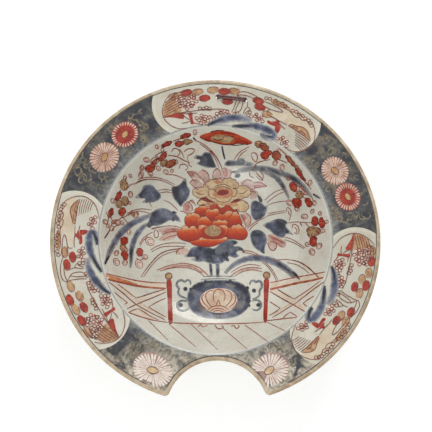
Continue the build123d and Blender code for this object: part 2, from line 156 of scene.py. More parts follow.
# %% Where a pixel lands
line_of_sight_steps = 34
highest_point = 62.0


def spot(pixel):
    """The place (x, y) in millimetres where the line of sight through a pixel meets the bowl."""
    across = (pixel[0] - photo_size / 2) / focal_pixels
    down = (pixel[1] - photo_size / 2) / focal_pixels
    sight = view_right * across - view_up * down - camera_back
    near = (camera_place.z - highest_point) / -sight.z
    far = camera_place.z / -sight.z
    for _ in range(line_of_sight_steps):
        middle = (near + far) / 2
        point = camera_place + sight * middle
        if point.z > porcelain_height(math.hypot(point.x, point.y)) + glaze_thickness:
            near = middle
        else:
            far = middle
    point = camera_place + sight * near
    return (point.x, point.y)


print("the middle of the photograph lies at", [round(value, 1) for value in spot((216, 216))])

# %% [markdown]
# Colours and finishes.
# Fired colours are never even: cobalt pools and fades, iron red thins where the brush lifted, and
# gold wears down to brown. One flat colour per paint would look printed. So each finish is a small
# node material in which cloudy noise, as large as a brush mark, mixes a few tones of the paint, a
# finer noise changes the gloss, and a faint bump keeps the reflections from being perfect.

# %% A colour as it looks on a screen


def linear(value):
    share = value / 255
    if share <= 0.04045:
        return share / 12.92
    return ((share + 0.055) / 1.055) ** 2.4


def paint(red, green, blue):
    """A colour as it looks on a screen, 0 to 255, as Blender's linear colour."""
    return (linear(red), linear(green), linear(blue), 1.0)


print("a middle grey is", round(linear(128), 3), "in linear light")


# %% A finish put together from nodes
class Finish:
    """A node material that is put together from clouds of noise in the bowl's own space."""

    def __init__(self, name):
        self.material = bpy.data.materials.new(name)
        self.material.use_nodes = True
        self.nodes = self.material.node_tree.nodes
        self.links = self.material.node_tree.links
        self.shader = self.nodes["Principled BSDF"]
        self.place = self.nodes.new("ShaderNodeTexCoord").outputs["Object"]

    def node(self, kind, inputs, **settings):
        """A new node. An input that is another node's output is linked, and any other is set."""
        made = self.nodes.new("ShaderNode" + kind)
        for name, value in settings.items():
            setattr(made, name, value)
        for socket, value in inputs.items():
            if isinstance(value, bpy.types.NodeSocket):
                self.links.new(value, made.inputs[socket])
            else:
                made.inputs[socket].default_value = value
        return made

    def cloud(self, size, detail, warp=0.0, offset=0.0):
        """Noise whose clouds are about size millimetres across."""
        shift = (offset, offset * 0.7, offset * 0.3)
        place = self.node("Mapping", {"Vector": self.place, "Location": shift}).outputs["Vector"]
        inputs = {"Vector": place, "Scale": 1 / (size * MM), "Detail": detail, "Distortion": warp}
        return self.node("TexNoise", inputs).outputs["Fac"]

    def cells(self, size, feature="DISTANCE_TO_EDGE"):
        """Cells about size millimetres across, for crackle lines and specks."""
        inputs = {"Vector": self.place, "Scale": 1 / (size * MM)}
        return self.node("TexVoronoi", inputs, feature=feature).outputs["Distance"]

    def share(self, name, grain, uneven):
        """A number recorded on the painted mesh, made uneven by noise."""
        recorded = self.node("Attribute", {}, attribute_name=name).outputs["Fac"]
        centred = self.node("Math", {0: recorded, 1: uneven / 2}, operation="SUBTRACT").outputs["Value"]
        inputs = {0: self.cloud(grain, 3.0, 0.5, 0.41), 1: uneven, 2: centred}
        return self.node("Math", inputs, operation="MULTIPLY_ADD").outputs["Value"]

    def spread(self, factor, start, end, low=0.0, high=1.0):
        """A number that runs from low to high while a factor runs from start to end."""
        inputs = {"Value": factor, "From Min": start, "From Max": end, "To Min": low, "To Max": high}
        return self.node("MapRange", inputs).outputs["Result"]

    def toward_notch(self, start, end):
        """A factor that grows from 0 to 1 toward the bowl's near edge."""
        axes = self.node("SeparateXYZ", {0: self.place})
        return self.spread(axes.outputs["Y"], -start * MM, -end * MM)

    def from_axis(self, near, far):
        """A factor that grows from 0 to 1 between two distances from the bowl's axis."""
        inputs = {0: self.place, 1: (1.0, 1.0, 0.0)}
        flat = self.node("VectorMath", inputs, operation="MULTIPLY").outputs["Vector"]
        length = self.node("VectorMath", {0: flat}, operation="LENGTH").outputs["Value"]
        return self.spread(length, near * MM, far * MM)

    def tones(self, factor, *stops):
        """Colours or grey values that a factor from 0 to 1 runs through."""
        ramp = self.node("ValToRGB", {"Fac": factor})
        elements = ramp.color_ramp.elements
        while len(elements) < len(stops):
            elements.new(0.5)
        for element, (position, colour) in zip(elements, stops):
            element.position = position
            element.color = colour if isinstance(colour, tuple) else (colour, colour, colour, 1.0)
        return ramp.outputs["Color"]

    def mix(self, factor, first, second):
        """Lays one colour over another by a factor; each may be a colour or another output."""
        return self.node("Mix", {0: factor, 6: first, 7: second}, data_type="RGBA").outputs[2]

    def colour(self, output):
        self.links.new(output, self.shader.inputs["Base Color"])

    def gloss(self, factor, smooth, rough):
        """Roughness that runs from smooth to rough with a factor."""
        self.links.new(self.spread(factor, 0.3, 0.7, smooth, rough), self.shader.inputs["Roughness"])

    def bump(self, factor, height, strength):
        """A relief whose full height is given in millimetres."""
        relief = self.node("Bump", {"Strength": strength, "Distance": height * MM, "Height": factor})
        self.links.new(relief.outputs["Normal"], self.shader.inputs["Normal"])


print("a finish can be built")

# %% [markdown]
# The glazes.
# The white of the bowl is a thick glaze with a grey-green cast. It is slightly cloudy, with rusty
# pin specks from iron in the clay and a very faint web of crackle. Large soft clouds carry the
# cast, small cells carry the specks, and thin cell borders, nearly invisible, carry the crackle.

# %% Well glaze, panel glaze and the cream borders
crackle_brown = paint(120, 108, 88)
speck_brown = paint(112, 82, 60)


def glaze_finish(name, pale, cast, stain, stain_amount):
    finish = Finish(name)
    ground = finish.tones(finish.cloud(45.0, 3.0), (0.35, paint(*cast)), (0.62, paint(*pale)))
    smudges = finish.tones(finish.cloud(9.0, 5.0, 0.6, 0.37), (0.55, 0.0), (0.75, stain_amount))
    ground = finish.mix(smudges, ground, paint(*stain))
    web = finish.tones(finish.cells(7.0), (0.0, 0.16), (0.035, 0.0))
    ground = finish.mix(web, ground, crackle_brown)
    specks = finish.tones(finish.cells(5.5, "F1"), (0.055, 0.55), (0.085, 0.0))
    finish.colour(finish.mix(specks, ground, speck_brown))
    finish.gloss(finish.cloud(14.0, 4.0), 0.12, 0.24)
    finish.bump(finish.cloud(5.0, 2.0), 0.05, 0.3)
    finish.shader.inputs["Specular IOR Level"].default_value = 0.5
    return finish.material


well_glaze = glaze_finish("well_glaze", (212, 210, 197), (198, 196, 182), (176, 160, 138), 0.35)
panel_glaze = glaze_finish("panel_glaze", (206, 202, 187), (190, 185, 168), (176, 152, 122), 0.45)
border_glaze = glaze_finish("border_glaze", (212, 208, 193), (200, 194, 174), (184, 158, 124), 0.4)
back_glaze = glaze_finish("back_glaze", (212, 211, 201), (200, 200, 188), (180, 168, 148), 0.25)
print("glazes made:", len([well_glaze, panel_glaze, border_glaze, back_glaze]))

# %% [markdown]
# The cobalt ground of the rim.
# Between the panels the rim is washed with cobalt, dark at the lip and paler towards the well. Beside
# the notch a pale tan shows through in patches: painted glare of the light on the lower rim. A coat of
# noise gives the pools of the wash, and others give olive patches, thin dark curls of an old scroll and
# small pits. The distance from the axis darkens it towards the lip, and the distance towards the notch
# lets the painted glare through.

# %% Cobalt ground


def cobalt_ground_finish():
    finish = Finish("cobalt_ground")
    wash = finish.tones(
        finish.cloud(15.0, 5.0, 0.9), (0.34, paint(36, 38, 45)), (0.45, paint(62, 63, 68)),
        (0.55, paint(92, 92, 90)), (0.66, paint(138, 134, 120)),
    )
    pooled = finish.tones(finish.from_axis(104.0, 132.0), (0.0, 0.0), (1.0, 0.62))
    wash = finish.mix(pooled, wash, paint(48, 49, 53))
    thin = finish.tones(finish.from_axis(99.0, 106.0), (0.0, 0.5), (1.0, 0.0))
    wash = finish.mix(thin, wash, paint(150, 152, 150))
    olive = finish.tones(finish.cloud(13.0, 3.0, 0.8, 0.83), (0.54, 0.0), (0.66, 0.62))
    wash = finish.mix(olive, wash, paint(140, 126, 100))
    scroll = finish.tones(finish.cloud(12.0, 2.0, 1.2, 0.21), (0.45, 0.0), (0.475, 0.5), (0.50, 0.0))
    wash = finish.mix(scroll, wash, paint(40, 42, 52))
    # Paler tan in patches towards the notch: painted glare of the light on the lower rim
    notch_side_glare = finish.tones(finish.cloud(11.0, 5.0, 0.9, 0.37), (0.40, 0.0), (0.54, 0.95))
    notch_side_glare = finish.mix(notch_side_glare, wash, paint(196, 186, 166))
    wash = finish.mix(finish.toward_notch(78.0, 110.0), wash, notch_side_glare)
    pits = finish.tones(finish.cloud(2.6, 3.0, 0.4, 0.63), (0.40, 0.5), (0.55, 0.0))
    finish.colour(finish.mix(pits, wash, paint(34, 36, 46)))
    finish.gloss(finish.cloud(6.0, 4.0), 0.18, 0.36)
    finish.bump(finish.cloud(2.5, 3.0), 0.06, 0.35)
    return finish.material


cobalt_ground = cobalt_ground_finish()
print("cobalt ground has", len(cobalt_ground.node_tree.nodes), "nodes")

# %% [markdown]
# Brush colours.
# Enamel washes are laid wet, so they cloud over a few millimetres, and fine lines hold more colour
# and vary along their length. Both are one recipe with a different grain, from the palest tone of
# the paint to its deepest. Cobalt lies under the glaze: it bleeds at its edge and turns black in
# its pools. A petal runs from its lit edge down to its fold. For these two, the painted mesh
# carries a number for its edge, its fall and its pools, and the finish reads it.

# %% Recipes of the brush colours
paints = {}
bled_grey = paint(182, 182, 176)


def brush_finish(name, grain, pale, middle, deep, smooth=0.16, rough=0.32):
    finish = Finish(name)
    clouds = finish.cloud(grain, 5.0, 0.8)
    pooling = finish.tones(clouds, (0.34, paint(*deep)), (0.50, paint(*middle)), (0.68, paint(*pale)))
    fine = finish.tones(finish.cloud(grain * 0.22, 3.0, 0.0, 0.5), (0.42, 0.35), (0.58, 0.0))
    finish.colour(finish.mix(fine, pooling, paint(*deep)))
    finish.gloss(finish.cloud(grain, 3.0), smooth, rough)
    finish.bump(finish.cloud(grain * 0.3, 3.0), 0.05, 0.4)
    return finish.material


def cobalt_finish(name, pale, middle, deep, black, bleed=0.62):
    """Blue under the glaze: cloudy, black where it pooled, and bleeding into the glaze at its edge."""
    finish = Finish(name)
    clouds = finish.cloud(7.0, 5.0, 0.8)
    wash = finish.tones(clouds, (0.36, paint(*deep)), (0.50, paint(*middle)), (0.64, paint(*pale)))
    pooled = finish.tones(finish.share("pool_share", 2.6, 0.35), (0.15, 0.0), (0.75, 1.0))
    wash = finish.mix(pooled, wash, paint(*black))
    faded = finish.tones(finish.share("edge_share", 2.0, 0.5), (0.0, bleed), (0.55, 0.0))
    finish.colour(finish.mix(faded, wash, bled_grey))
    finish.gloss(finish.cloud(7.0, 3.0), 0.14, 0.28)
    finish.bump(finish.cloud(2.1, 3.0), 0.04, 0.3)
    return finish.material


def petal_finish(name, *steps):
    """Enamel that runs from a petal's lit edge down to its fold, in the given steps."""
    finish = Finish(name)
    stops = [(position, paint(*colour)) for position, colour in steps]
    run = finish.tones(finish.share("fall_share", 3.2, 0.34), *stops)
    fine = finish.tones(finish.cloud(1.6, 3.0, 0.0, 0.5), (0.42, 0.28), (0.58, 0.0))
    finish.colour(finish.mix(fine, run, stops[-1][1]))
    finish.gloss(finish.cloud(4.0, 3.0), 0.10, 0.22)
    finish.bump(finish.cloud(1.4, 3.0), 0.05, 0.4)
    return finish.material


def mix_paints(recipe, slot, table):
    """Makes every colour of a table by one recipe, and prints the group's name and how many colours it has.
    """
    for name, values in table.items():
        paints[name] = recipe(name, *values)
    print(slot, "has", len(table), "colours")


# %% Blues under the glaze
# Each blue as its pale, middle and deep tone, the black of its pools and, if given, its bleeding
mix_paints(cobalt_finish, "underglaze_cobalt", {
    "cobalt_wash": ((116, 118, 130), (88, 92, 110), (60, 64, 84), (28, 31, 46)),
    "cobalt_dark": ((68, 72, 90), (46, 50, 68), (28, 32, 48), (20, 22, 36), 0.5),
    "cobalt_black": ((48, 52, 68), (30, 34, 48), (18, 20, 32), (14, 16, 26), 0.1),
    "cobalt_spray": ((98, 103, 122), (70, 76, 100), (44, 49, 74), (24, 27, 42)),
    "mottle_tan": ((122, 120, 112), (96, 96, 98), (66, 69, 82), (50, 48, 52), 0.0),
})
mix_paints(cobalt_finish, "grey_cobalt", {
    "cobalt_grey": ((132, 136, 136), (106, 110, 116), (80, 85, 94), (44, 46, 60)),
    "cobalt_olive": ((120, 122, 118), (92, 97, 104), (66, 71, 84), (34, 37, 50), 0.0),
})
mix_paints(brush_finish, "underglaze_cobalt", {
    "line_grey": (3.0, (140, 142, 146), (112, 116, 124), (84, 88, 98)),
    "scroll_grey": (3.0, (146, 150, 148), (118, 123, 124), (80, 85, 92)),
})

# %% Reds, golds, whites and browns over the glaze
mix_paints(petal_finish, "iron_red_enamel", {
    "petal_red": ((0.05, (214, 176, 134)), (0.20, (210, 156, 108)), (0.34, (202, 90, 28)),
                  (0.60, (178, 50, 6)), (0.97, (142, 28, 6))),
    "petal_deep": ((0.0, (186, 62, 20)), (0.45, (168, 42, 12)), (1.0, (124, 28, 14))),
})
# Each as the size of its clouds, its pale, middle and deep tone and, if given, its gloss
mix_paints(brush_finish, "iron_red_enamel", {
    "iron_red": (4.0, (194, 86, 58), (176, 54, 34), (136, 36, 28)),
    "iron_red_deep": (4.0, (154, 58, 42), (130, 40, 32), (98, 28, 26)),
    "orange_red": (5.0, (202, 90, 40), (186, 62, 18), (154, 40, 12), 0.10, 0.22),
    "peony_deep": (4.0, (178, 60, 30), (158, 44, 20), (124, 32, 20), 0.10, 0.22),
    "petal_pink_deep": (4.0, (190, 144, 130), (174, 120, 108), (150, 92, 84)),
    "pink_wash": (6.0, (208, 188, 172), (192, 164, 150), (174, 140, 126)),
    "loop_blush": (4.0, (222, 212, 198), (214, 198, 184), (202, 174, 156)),
    "rust_wash": (5.0, (186, 112, 76), (160, 84, 56), (132, 62, 44)),
    "rail_wash": (16.0, (216, 210, 196), (212, 200, 182), (206, 182, 160)),
    "rail_orange": (7.0, (208, 164, 128), (194, 122, 82), (174, 94, 58)),
    "tree_red": (4.0, (182, 70, 44), (158, 46, 28), (122, 32, 24), 0.12, 0.26),
})
mix_paints(brush_finish, "gilding", {
    "petal_gold": (5.0, (220, 200, 160), (206, 180, 140), (182, 150, 112)),
    "petal_blush": (4.0, (210, 164, 124), (194, 140, 100), (176, 118, 82)),
    "gold_worn": (4.0, (190, 164, 124), (166, 136, 96), (136, 104, 72), 0.22, 0.42),
    "heart_tan": (4.0, (206, 170, 122), (188, 146, 98), (158, 114, 74), 0.2, 0.4),
    "thatch_straw": (5.0, (200, 168, 130), (180, 142, 104), (152, 108, 76)),
    "scroll_olive": (3.0, (150, 136, 108), (122, 112, 92), (84, 80, 74), 0.25, 0.45),
})
mix_paints(brush_finish, "white_petals", {
    "vase_cream": (9.0, (220, 206, 186), (210, 190, 168), (190, 162, 136)),
    # The lower blooms' white petals and their disc colour are painted paler: painted glare on the lower rim
    "bloom_white": (5.0, (236, 228, 218), (230, 216, 204), (210, 190, 178)),
    "bloom_pink": (5.0, (222, 202, 186), (206, 178, 160), (178, 142, 122)),
    "bloom_mist": (5.0, (186, 162, 150), (164, 136, 124), (134, 108, 100)),
    "bloom_shade": (5.0, (176, 122, 96), (150, 94, 74), (116, 72, 60)),
})
mix_paints(brush_finish, "brown_line", {
    "line_rust": (4.0, (178, 108, 86), (152, 76, 58), (122, 54, 42)),
    "line_red": (3.0, (128, 48, 30), (102, 34, 22), (74, 26, 20)),
    "line_brown": (3.0, (152, 92, 74), (122, 62, 48), (90, 42, 34)),
    "line_soft": (3.0, (166, 112, 94), (144, 84, 68), (116, 62, 50)),
    "line_dark": (3.0, (112, 62, 54), (86, 42, 40), (58, 30, 32)),
    "loop_rose": (3.0, (172, 106, 88), (146, 76, 62), (112, 54, 46)),
    "ground_line": (5.0, (112, 102, 92), (84, 76, 70), (56, 52, 52)),
})
mix_paints(brush_finish, "panel_glaze", {
    "bank_tan": (9.0, (212, 202, 180), (206, 192, 168), (196, 178, 152)),
})
lip_brown = brush_finish("lip_brown", 12.0, (206, 190, 164), (188, 168, 138), (158, 136, 108), 0.25, 0.45)

# %% [markdown]
# Laying colour on the bowl.
# A painted shape is a thin plate that hugs the glaze. Its outline is a smooth closed line through
# a few points. Points sprinkled inside let the plate bend with the wall, and a triangle mesh joins
# them. A brush line is the same thing, only narrow, so it is built as a strip. Both get sides and
# an underside just below the glaze, so that every shape is a closed body, as a fired enamel is.

# %% Smooth lines through points
outline_step = 1.3


def curve_between(before, start, end, after, share):
    """A point on the smooth curve from start to end that also heeds its neighbours."""
    result = []
    for a, b, c, d in zip(before, start, end, after):
        square, cube = share * share, share * share * share
        result.append(0.5 * (2 * b + (c - a) * share + (2 * a - 5 * b + 4 * c - d) * square
                             + (3 * b - a - 3 * c + d) * cube))
    return tuple(result)


def smooth_line(points, closed):
    """Places a step apart along the smooth line through the points, each with its share of the way."""
    count = len(points)
    spans = count if closed else count - 1
    line = []
    for index in range(spans):
        start, end = points[index], points[(index + 1) % count]
        before = points[index - 1] if closed or index > 0 else start
        after = points[(index + 2) % count] if closed or index + 2 < count else end
        pieces = max(1, round(math.dist(start, end) / outline_step))
        for piece in range(pieces):
            share = piece / pieces
            line.append((curve_between(before, start, end, after, share), (index + share) / spans))
    if not closed:
        line.append((points[-1], 1.0))
    return line


print("a line through three points has", len(smooth_line([(0, 0), (5, 0), (5, 5)], False)), "places")

# %% Small helpers for outlines


def middle_of(outline):
    return (sum(x for x, _ in outline) / len(outline), sum(y for _, y in outline) / len(outline))


def turned_oval(centre, across, along, turn, steps):
    """Places round an oval of two half sizes that is turned by an angle."""
    outline = []
    for step in range(steps):
        angle = math.tau * step / steps
        u, v = across * math.cos(angle), along * math.sin(angle)
        outline.append((centre[0] + u * math.cos(turn) - v * math.sin(turn),
                        centre[1] + u * math.sin(turn) + v * math.cos(turn)))
    return outline


def lobed(outline, depth):
    """The same outline with every side swelling outward, like the edge of a small blossom."""
    middle = middle_of(outline)
    points = []
    for here, there in zip(outline, outline[1:] + outline[:1]):
        side = math.dist(here, there)
        half = ((here[0] + there[0]) / 2, (here[1] + there[1]) / 2)
        for place, push in ((here, -0.35 * depth), (half, depth)):
            reach = math.dist(place, middle) or 1.0
            swell = push * side / reach
            points.append((place[0] + (place[0] - middle[0]) * swell,
                           place[1] + (place[1] - middle[1]) * swell))
    return points


def inside(point, outline):
    """True where a place lies within a closed outline."""
    x, y = point
    odd = False
    for (ax, ay), (bx, by) in zip(outline, outline[1:] + outline[:1]):
        if (ay > y) != (by > y) and x < (bx - ax) * (y - ay) / (by - ay) + ax:
            odd = not odd
    return odd


print("the middle of a square:", middle_of([(0, 0), (2, 0), (2, 2), (0, 2)]))

# %% Filling an outline with triangles
grid_step = 2.3
row_step = grid_step * 0.87
edge_clearance = grid_step * 0.45
soft_edge = 1.8
join_distance = 1e-5


def sprinkled(line):
    """Places in staggered rows inside a closed line and clear of its edge."""
    xs = [place[0] for place in line]
    ys = [place[1] for place in line]
    extra = []
    y = min(ys) + grid_step / 2
    row = 0
    while y < max(ys):
        x = min(xs) + grid_step * (0.5 if row % 2 else 1.0)
        while x < max(xs):
            if inside((x, y), line) and min(math.dist((x, y), place) for place in line) > edge_clearance:
                extra.append((x, y))
            x += grid_step
        y += row_step
        row += 1
    return extra


def filled(outline):
    """Places, triangles and shares of the way in from the edge, for an outline in millimetres."""
    line = [place for place, _ in smooth_line(outline, True)]
    count = len(line)
    edges = [(index, (index + 1) % count) for index in range(count)]
    flat = [Vector(place) for place in line + sprinkled(line)]
    result = delaunay_2d_cdt(flat, edges, [], 1, join_distance)
    places = [(point.x, point.y) for point in result[0]]
    triangles = []
    for face in result[2]:
        (ax, ay), (bx, by), (cx, cy) = [places[index] for index in face[:3]]
        turn = (bx - ax) * (cy - ay) - (cx - ax) * (by - ay)
        triangles.append(list(face) if turn > 0 else list(reversed(face)))
    shares = [min(1.0, min(math.dist(place, edge) for edge in line) / soft_edge) for place in places]
    return places, triangles, shares


print("a small square is filled with", len(filled([(0, 0), (6, 0), (6, 6), (0, 6)])[1]), "triangles")

# %% A brush line as a strip
wide_stroke = 2.4
thinnest_line = 0.12
plain_stroke = (0.75, 1.0, 1.05, 0.9, 0.6)
hand_shake = 0.22


def brush_strip(route, widths):
    """Places, triangles and edge shares of a brush line in millimetres; its widths run along it."""
    line = smooth_line(route, False)
    if isinstance(widths, (int, float)):
        widths = [widths * part for part in plain_stroke]
    left_side, right_side = [], []
    for index, (place, share) in enumerate(line):
        before = line[max(index - 1, 0)][0]
        after = line[min(index + 1, len(line) - 1)][0]
        length = math.dist(before, after) or 1.0
        side = (-(after[1] - before[1]) / length, (after[0] - before[0]) / length)
        at = share * (len(widths) - 1)
        low = min(int(at), len(widths) - 2)
        width = widths[low] + (widths[low + 1] - widths[low]) * (at - low)
        width *= 1 + hand_shake * noise.noise(Vector((place[0] * 0.4, place[1] * 0.4, 3.1)))
        half = max(width, thinnest_line) / 2
        left_side.append((place[0] + side[0] * half, place[1] + side[1] * half))
        right_side.append((place[0] - side[0] * half, place[1] - side[1] * half))
    rows = [left_side, right_side]
    shares = [1.0] * len(line) * 2
    if max(widths) > wide_stroke:
        rows.insert(1, [place for place, _ in line])
        ends = [min(1.0, 3 * share, 3 * (1 - share)) for _, share in line]
        shares = [0.0] * len(line) + ends + [0.0] * len(line)
    count = len(line)
    triangles = []
    for row in range(len(rows) - 1):
        for index in range(row * count, row * count + count - 1):
            triangles.append([index, count + index, count + index + 1])
            triangles.append([index, count + index + 1, index + 1])
    return [place for row in rows for place in row], triangles, shares


print("a short line has", len(brush_strip([(0, 0), (5, 0)], 0.5)[1]), "triangles")

# %% Brushwork: shapes of one colour that make one piece
underside = 0.30
sharp_edge = math.radians(40)
brushwork_pieces = []


def place_piece(name, mesh, material):
    """Gives a mesh its soft shading and finish, and puts it on the bowl."""
    mesh.shade_smooth()
    mesh.set_sharp_from_angle(angle=sharp_edge)
    mesh.materials.append(material)
    piece = bpy.data.objects.new(name, mesh)
    bpy.context.scene.collection.objects.link(piece)
    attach(piece, "root")
    return piece


class Brushwork:
    """Shapes painted in one colour, which become one closed mesh on the bowl."""

    def __init__(self, name, paint_name, lift):
        self.name = name
        self.paint_name = paint_name
        self.lift = lift
        self.points = []
        self.faces = []
        self.edge_shares = []
        self.fall_shares = []
        self.pools = []

    def pool(self, pixel, radius, strength):
        """Remembers a place where the colour pooled; its radius is in millimetres."""
        self.pools.append((spot(pixel), radius, strength))

    def add_plate(self, flat_points, triangles, edge_shares, lift=None):
        """Adds a top, an underside and the walls between them."""
        first = len(self.points)
        count = len(flat_points)
        low = min(y for _, y in flat_points)
        high = max(y for _, y in flat_points)
        for height in (glaze_thickness + (lift or self.lift), underside):
            for (x, y), edge_share in zip(flat_points, edge_shares):
                self.points.append(on_bowl(x, y, height))
                self.edge_shares.append(edge_share)
                self.fall_shares.append((high - y) / max(high - low, 0.1))
        open_edges = {}
        for triangle in triangles:
            self.faces.append([first + corner for corner in triangle])
            self.faces.append([first + count + corner for corner in reversed(triangle)])
            for here, there in zip(triangle, triangle[1:] + triangle[:1]):
                if (there, here) in open_edges:
                    del open_edges[(there, here)]
                else:
                    open_edges[(here, there)] = True
        for here, there in open_edges:
            self.faces.append([first + there, first + here, first + count + here, first + count + there])

    def fill_places(self, outline):
        """Fills a closed outline given in millimetres."""
        self.add_plate(*filled(outline))

    def fill(self, outline, lift=None):
        """Fills a closed outline given in the photograph's pixels."""
        self.add_plate(*filled([spot(pixel) for pixel in outline]), lift)

    def strip_places(self, route, widths):
        """A brush line along a route in millimetres."""
        self.add_plate(*brush_strip(route, widths))

    def line(self, widths, route, lift=None):
        """A brush line through pixels of the photograph, with its width or widths in millimetres."""
        self.add_plate(*brush_strip([spot(pixel) for pixel in route], widths), lift)

    def dot_places(self, centre, across, along, turn=0.0, steps=10):
        """An oval dot, by its half sizes in millimetres."""
        flat = [tuple(centre)] + turned_oval(centre, across, along, turn, steps)
        triangles = [[0, 1 + step, 1 + (step + 1) % steps] for step in range(steps)]
        self.add_plate(flat, triangles, [1.0] + [0.0] * steps)

    def dot(self, pixel, radius):
        self.dot_places(spot(pixel), radius, radius, 0.3)

    def pooled(self, point):
        """How much colour pooled at a point, from 0 to 1."""
        amount = 0.0
        for place, radius, strength in self.pools:
            distance = math.dist((point.x / MM, point.y / MM), place)
            amount += strength * math.exp(-((distance / radius) ** 2))
        return min(amount, 1.0)

    def finish(self, *stands_for):
        """Makes the mesh, gives it its colour and lets it stand for the named solids."""
        mesh = bpy.data.meshes.new(self.name)
        mesh.from_pydata([tuple(point) for point in self.points], [], self.faces)
        pool_shares = [self.pooled(point) for point in self.points]
        for record, shares in (("edge_share", self.edge_shares), ("fall_share", self.fall_shares),
                               ("pool_share", pool_shares)):
            mesh.attributes.new(record, "FLOAT", "POINT").data.foreach_set("value", shares)
        mesh.validate()
        piece = place_piece(self.name, mesh, paints[self.paint_name])
        if stands_for:
            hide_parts(*stands_for)
        brushwork_pieces.append(piece)
        print(self.name, "has", len(mesh.polygons), "faces")


# %% One call for a piece of outlines and lines


def painted(name, paint_name, lift, outlines=(), strokes=(), pools=(), stands_for=()):
    """A piece from outlines, strokes (width, route) and pools (pixel, radius, strength), in pixels."""
    piece = Brushwork(name, paint_name, lift)
    for outline in outlines:
        piece.fill(outline)
    for stroke in strokes:
        piece.line(*stroke)
    for pool in pools:
        piece.pool(*pool)
    piece.finish(*stands_for)


def strokes_of(width, routes):
    """Every route with the same brush width."""
    return [(width, route) for route in routes]


print("a brush of one width gives", strokes_of(0.5, [((0, 0), (1, 1))]))

# %% [markdown]
# The glaze of the well.
# The highlight that rolls along the foot of the wall shows every flat facet, so the well's glaze
# is turned here on a finer wheel than the solid model: one profile line, spun in many small steps.
# It is closed underneath against the porcelain, so it stays a real coat with a thickness.

# %% Turned coat of glaze
wheel_steps = 224
floor_radii = [0.0, 12.0, 24.0, 36.0, bend_start]
bend_steps = 18
wall_steps = 6
mouth_steps = 6


def well_profile_radii():
    radii = list(floor_radii)
    for step in range(1, bend_steps + 1):
        radii.append(bend_start + floor_bend_radius * math.sin(wall_slope * step / bend_steps))
    for step in range(1, wall_steps + 1):
        radii.append(bend_end + (mouth_start - bend_end) * step / wall_steps)
    for step in range(1, mouth_steps + 1):
        radii.append(mouth_start + (well_mouth_radius - mouth_start) * step / mouth_steps)
    return radii


def turn_coat(name, radii, material, lift_low, lift_high):
    """Spins a coat between two lifts over the given radii, which start on the axis."""
    points, faces = [], []
    for lift in (lift_high, lift_low):
        points.append(on_bowl(0.0, 0.0, lift))
        for radius in radii[1:]:
            for step in range(wheel_steps):
                angle = math.tau * step / wheel_steps
                points.append(on_bowl(radius * math.cos(angle), radius * math.sin(angle), lift))
    layer = 1 + (len(radii) - 1) * wheel_steps
    for side in (0, 1):
        base = side * layer
        for step in range(wheel_steps):
            following = (step + 1) % wheel_steps
            centre = [base, base + 1 + step, base + 1 + following]
            faces.append(centre if side == 0 else centre[::-1])
            for ring in range(len(radii) - 2):
                inner = base + 1 + ring * wheel_steps
                outer = inner + wheel_steps
                quad = [inner + step, outer + step, outer + following, inner + following]
                faces.append(quad if side == 0 else quad[::-1])
    rim_top, rim_low = layer - wheel_steps, 2 * layer - wheel_steps
    for step in range(wheel_steps):
        following = (step + 1) % wheel_steps
        faces.append([rim_top + following, rim_top + step, rim_low + step, rim_low + following])
    mesh = bpy.data.meshes.new(name)
    mesh.from_pydata([tuple(point) for point in points], [], faces)
    return place_piece(name, mesh, material)


glazed_well = turn_coat("glazed_well", well_profile_radii(), well_glaze, 0.02, glaze_thickness)
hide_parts("well_glaze")
print("the well's coat has", len(glazed_well.data.polygons), "faces")

# %% [markdown]
# The pieces that keep their solid shape.
# The body, the foot, the lip, the coats of the rim and the wire could be turned again here, but
# their solids are right as they are, so they only get finishes. The round solids of the blooms
# stay too, as the discs under the painted petals.

# %% Finishes of the turned pieces


def wear(node, material):
    """Gives a solid piece of the frame a finish in every one of its slots."""
    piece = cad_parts[node]
    if not piece.data.materials:
        piece.data.materials.append(material)
    for index in range(len(piece.data.materials)):
        piece.data.materials[index] = material


wear("porcelain_body", back_glaze)
wear("foot_ring", back_glaze)
wear("rim_lip", lip_brown)
wear("well_edge_line", paints["cobalt_grey"])
for side in ("left", "top", "right"):
    wear(f"rim_panel_{side}", panel_glaze)
    wear(f"panel_border_{side}", border_glaze)
for ground in ("lower", "upper_left", "upper_right"):
    wear(f"cobalt_ground_{ground}", cobalt_ground)
for side in ("left", "right"):
    wear(f"chrysanthemum_upper_{side}_red", paints["tree_red"])
    wear(f"chrysanthemum_upper_{side}_white", paints["bloom_shade"])
    # Paler discs on the lower blooms: painted glare of the light on the lower rim
    wear(f"chrysanthemum_lower_{side}_white", paints["bloom_mist"])
wear("chrysanthemum_hearts", paints["gold_worn"])
wear("hanging_wire", paints["line_dark"])
print("finishes in use:", len(bpy.data.materials))

# %% [markdown]
# Layers of paint.
# The painter worked from pale to dark: cobalt first, then washes, then bright enamels and at last
# the fine outlines. Each layer stands a few hundredths of a millimetre above the one before, which
# keeps the shapes apart where they cross and gives the outlines their slight relief.

# %% Heights of the layers above the glaze and widths of the finest brushes, in millimetres
stem_lift = 0.05
wash_lift = 0.08
body_lift = 0.14
accent_lift = 0.20
detail_lift = 0.26
line_lift = 0.32

fine_line = 0.55
grass_line = 0.66
vein_line = 0.72
bold_line = 0.95
print("layers from", stem_lift, "to", line_lift, "mm")

# %% [markdown]
# The cobalt leaves and long blades.
# The blue was brushed under the glaze, so its edges are soft and each leaf is darkest where the
# brush paused: at the tips, along one side and at the foot of the stems. A dark shape could be laid
# on every leaf, but a shape has a hard edge. So the places where the colour pooled are recorded on
# the leaf's own mesh, and its finish lets them run to black softly. Only small hard knots are shapes.

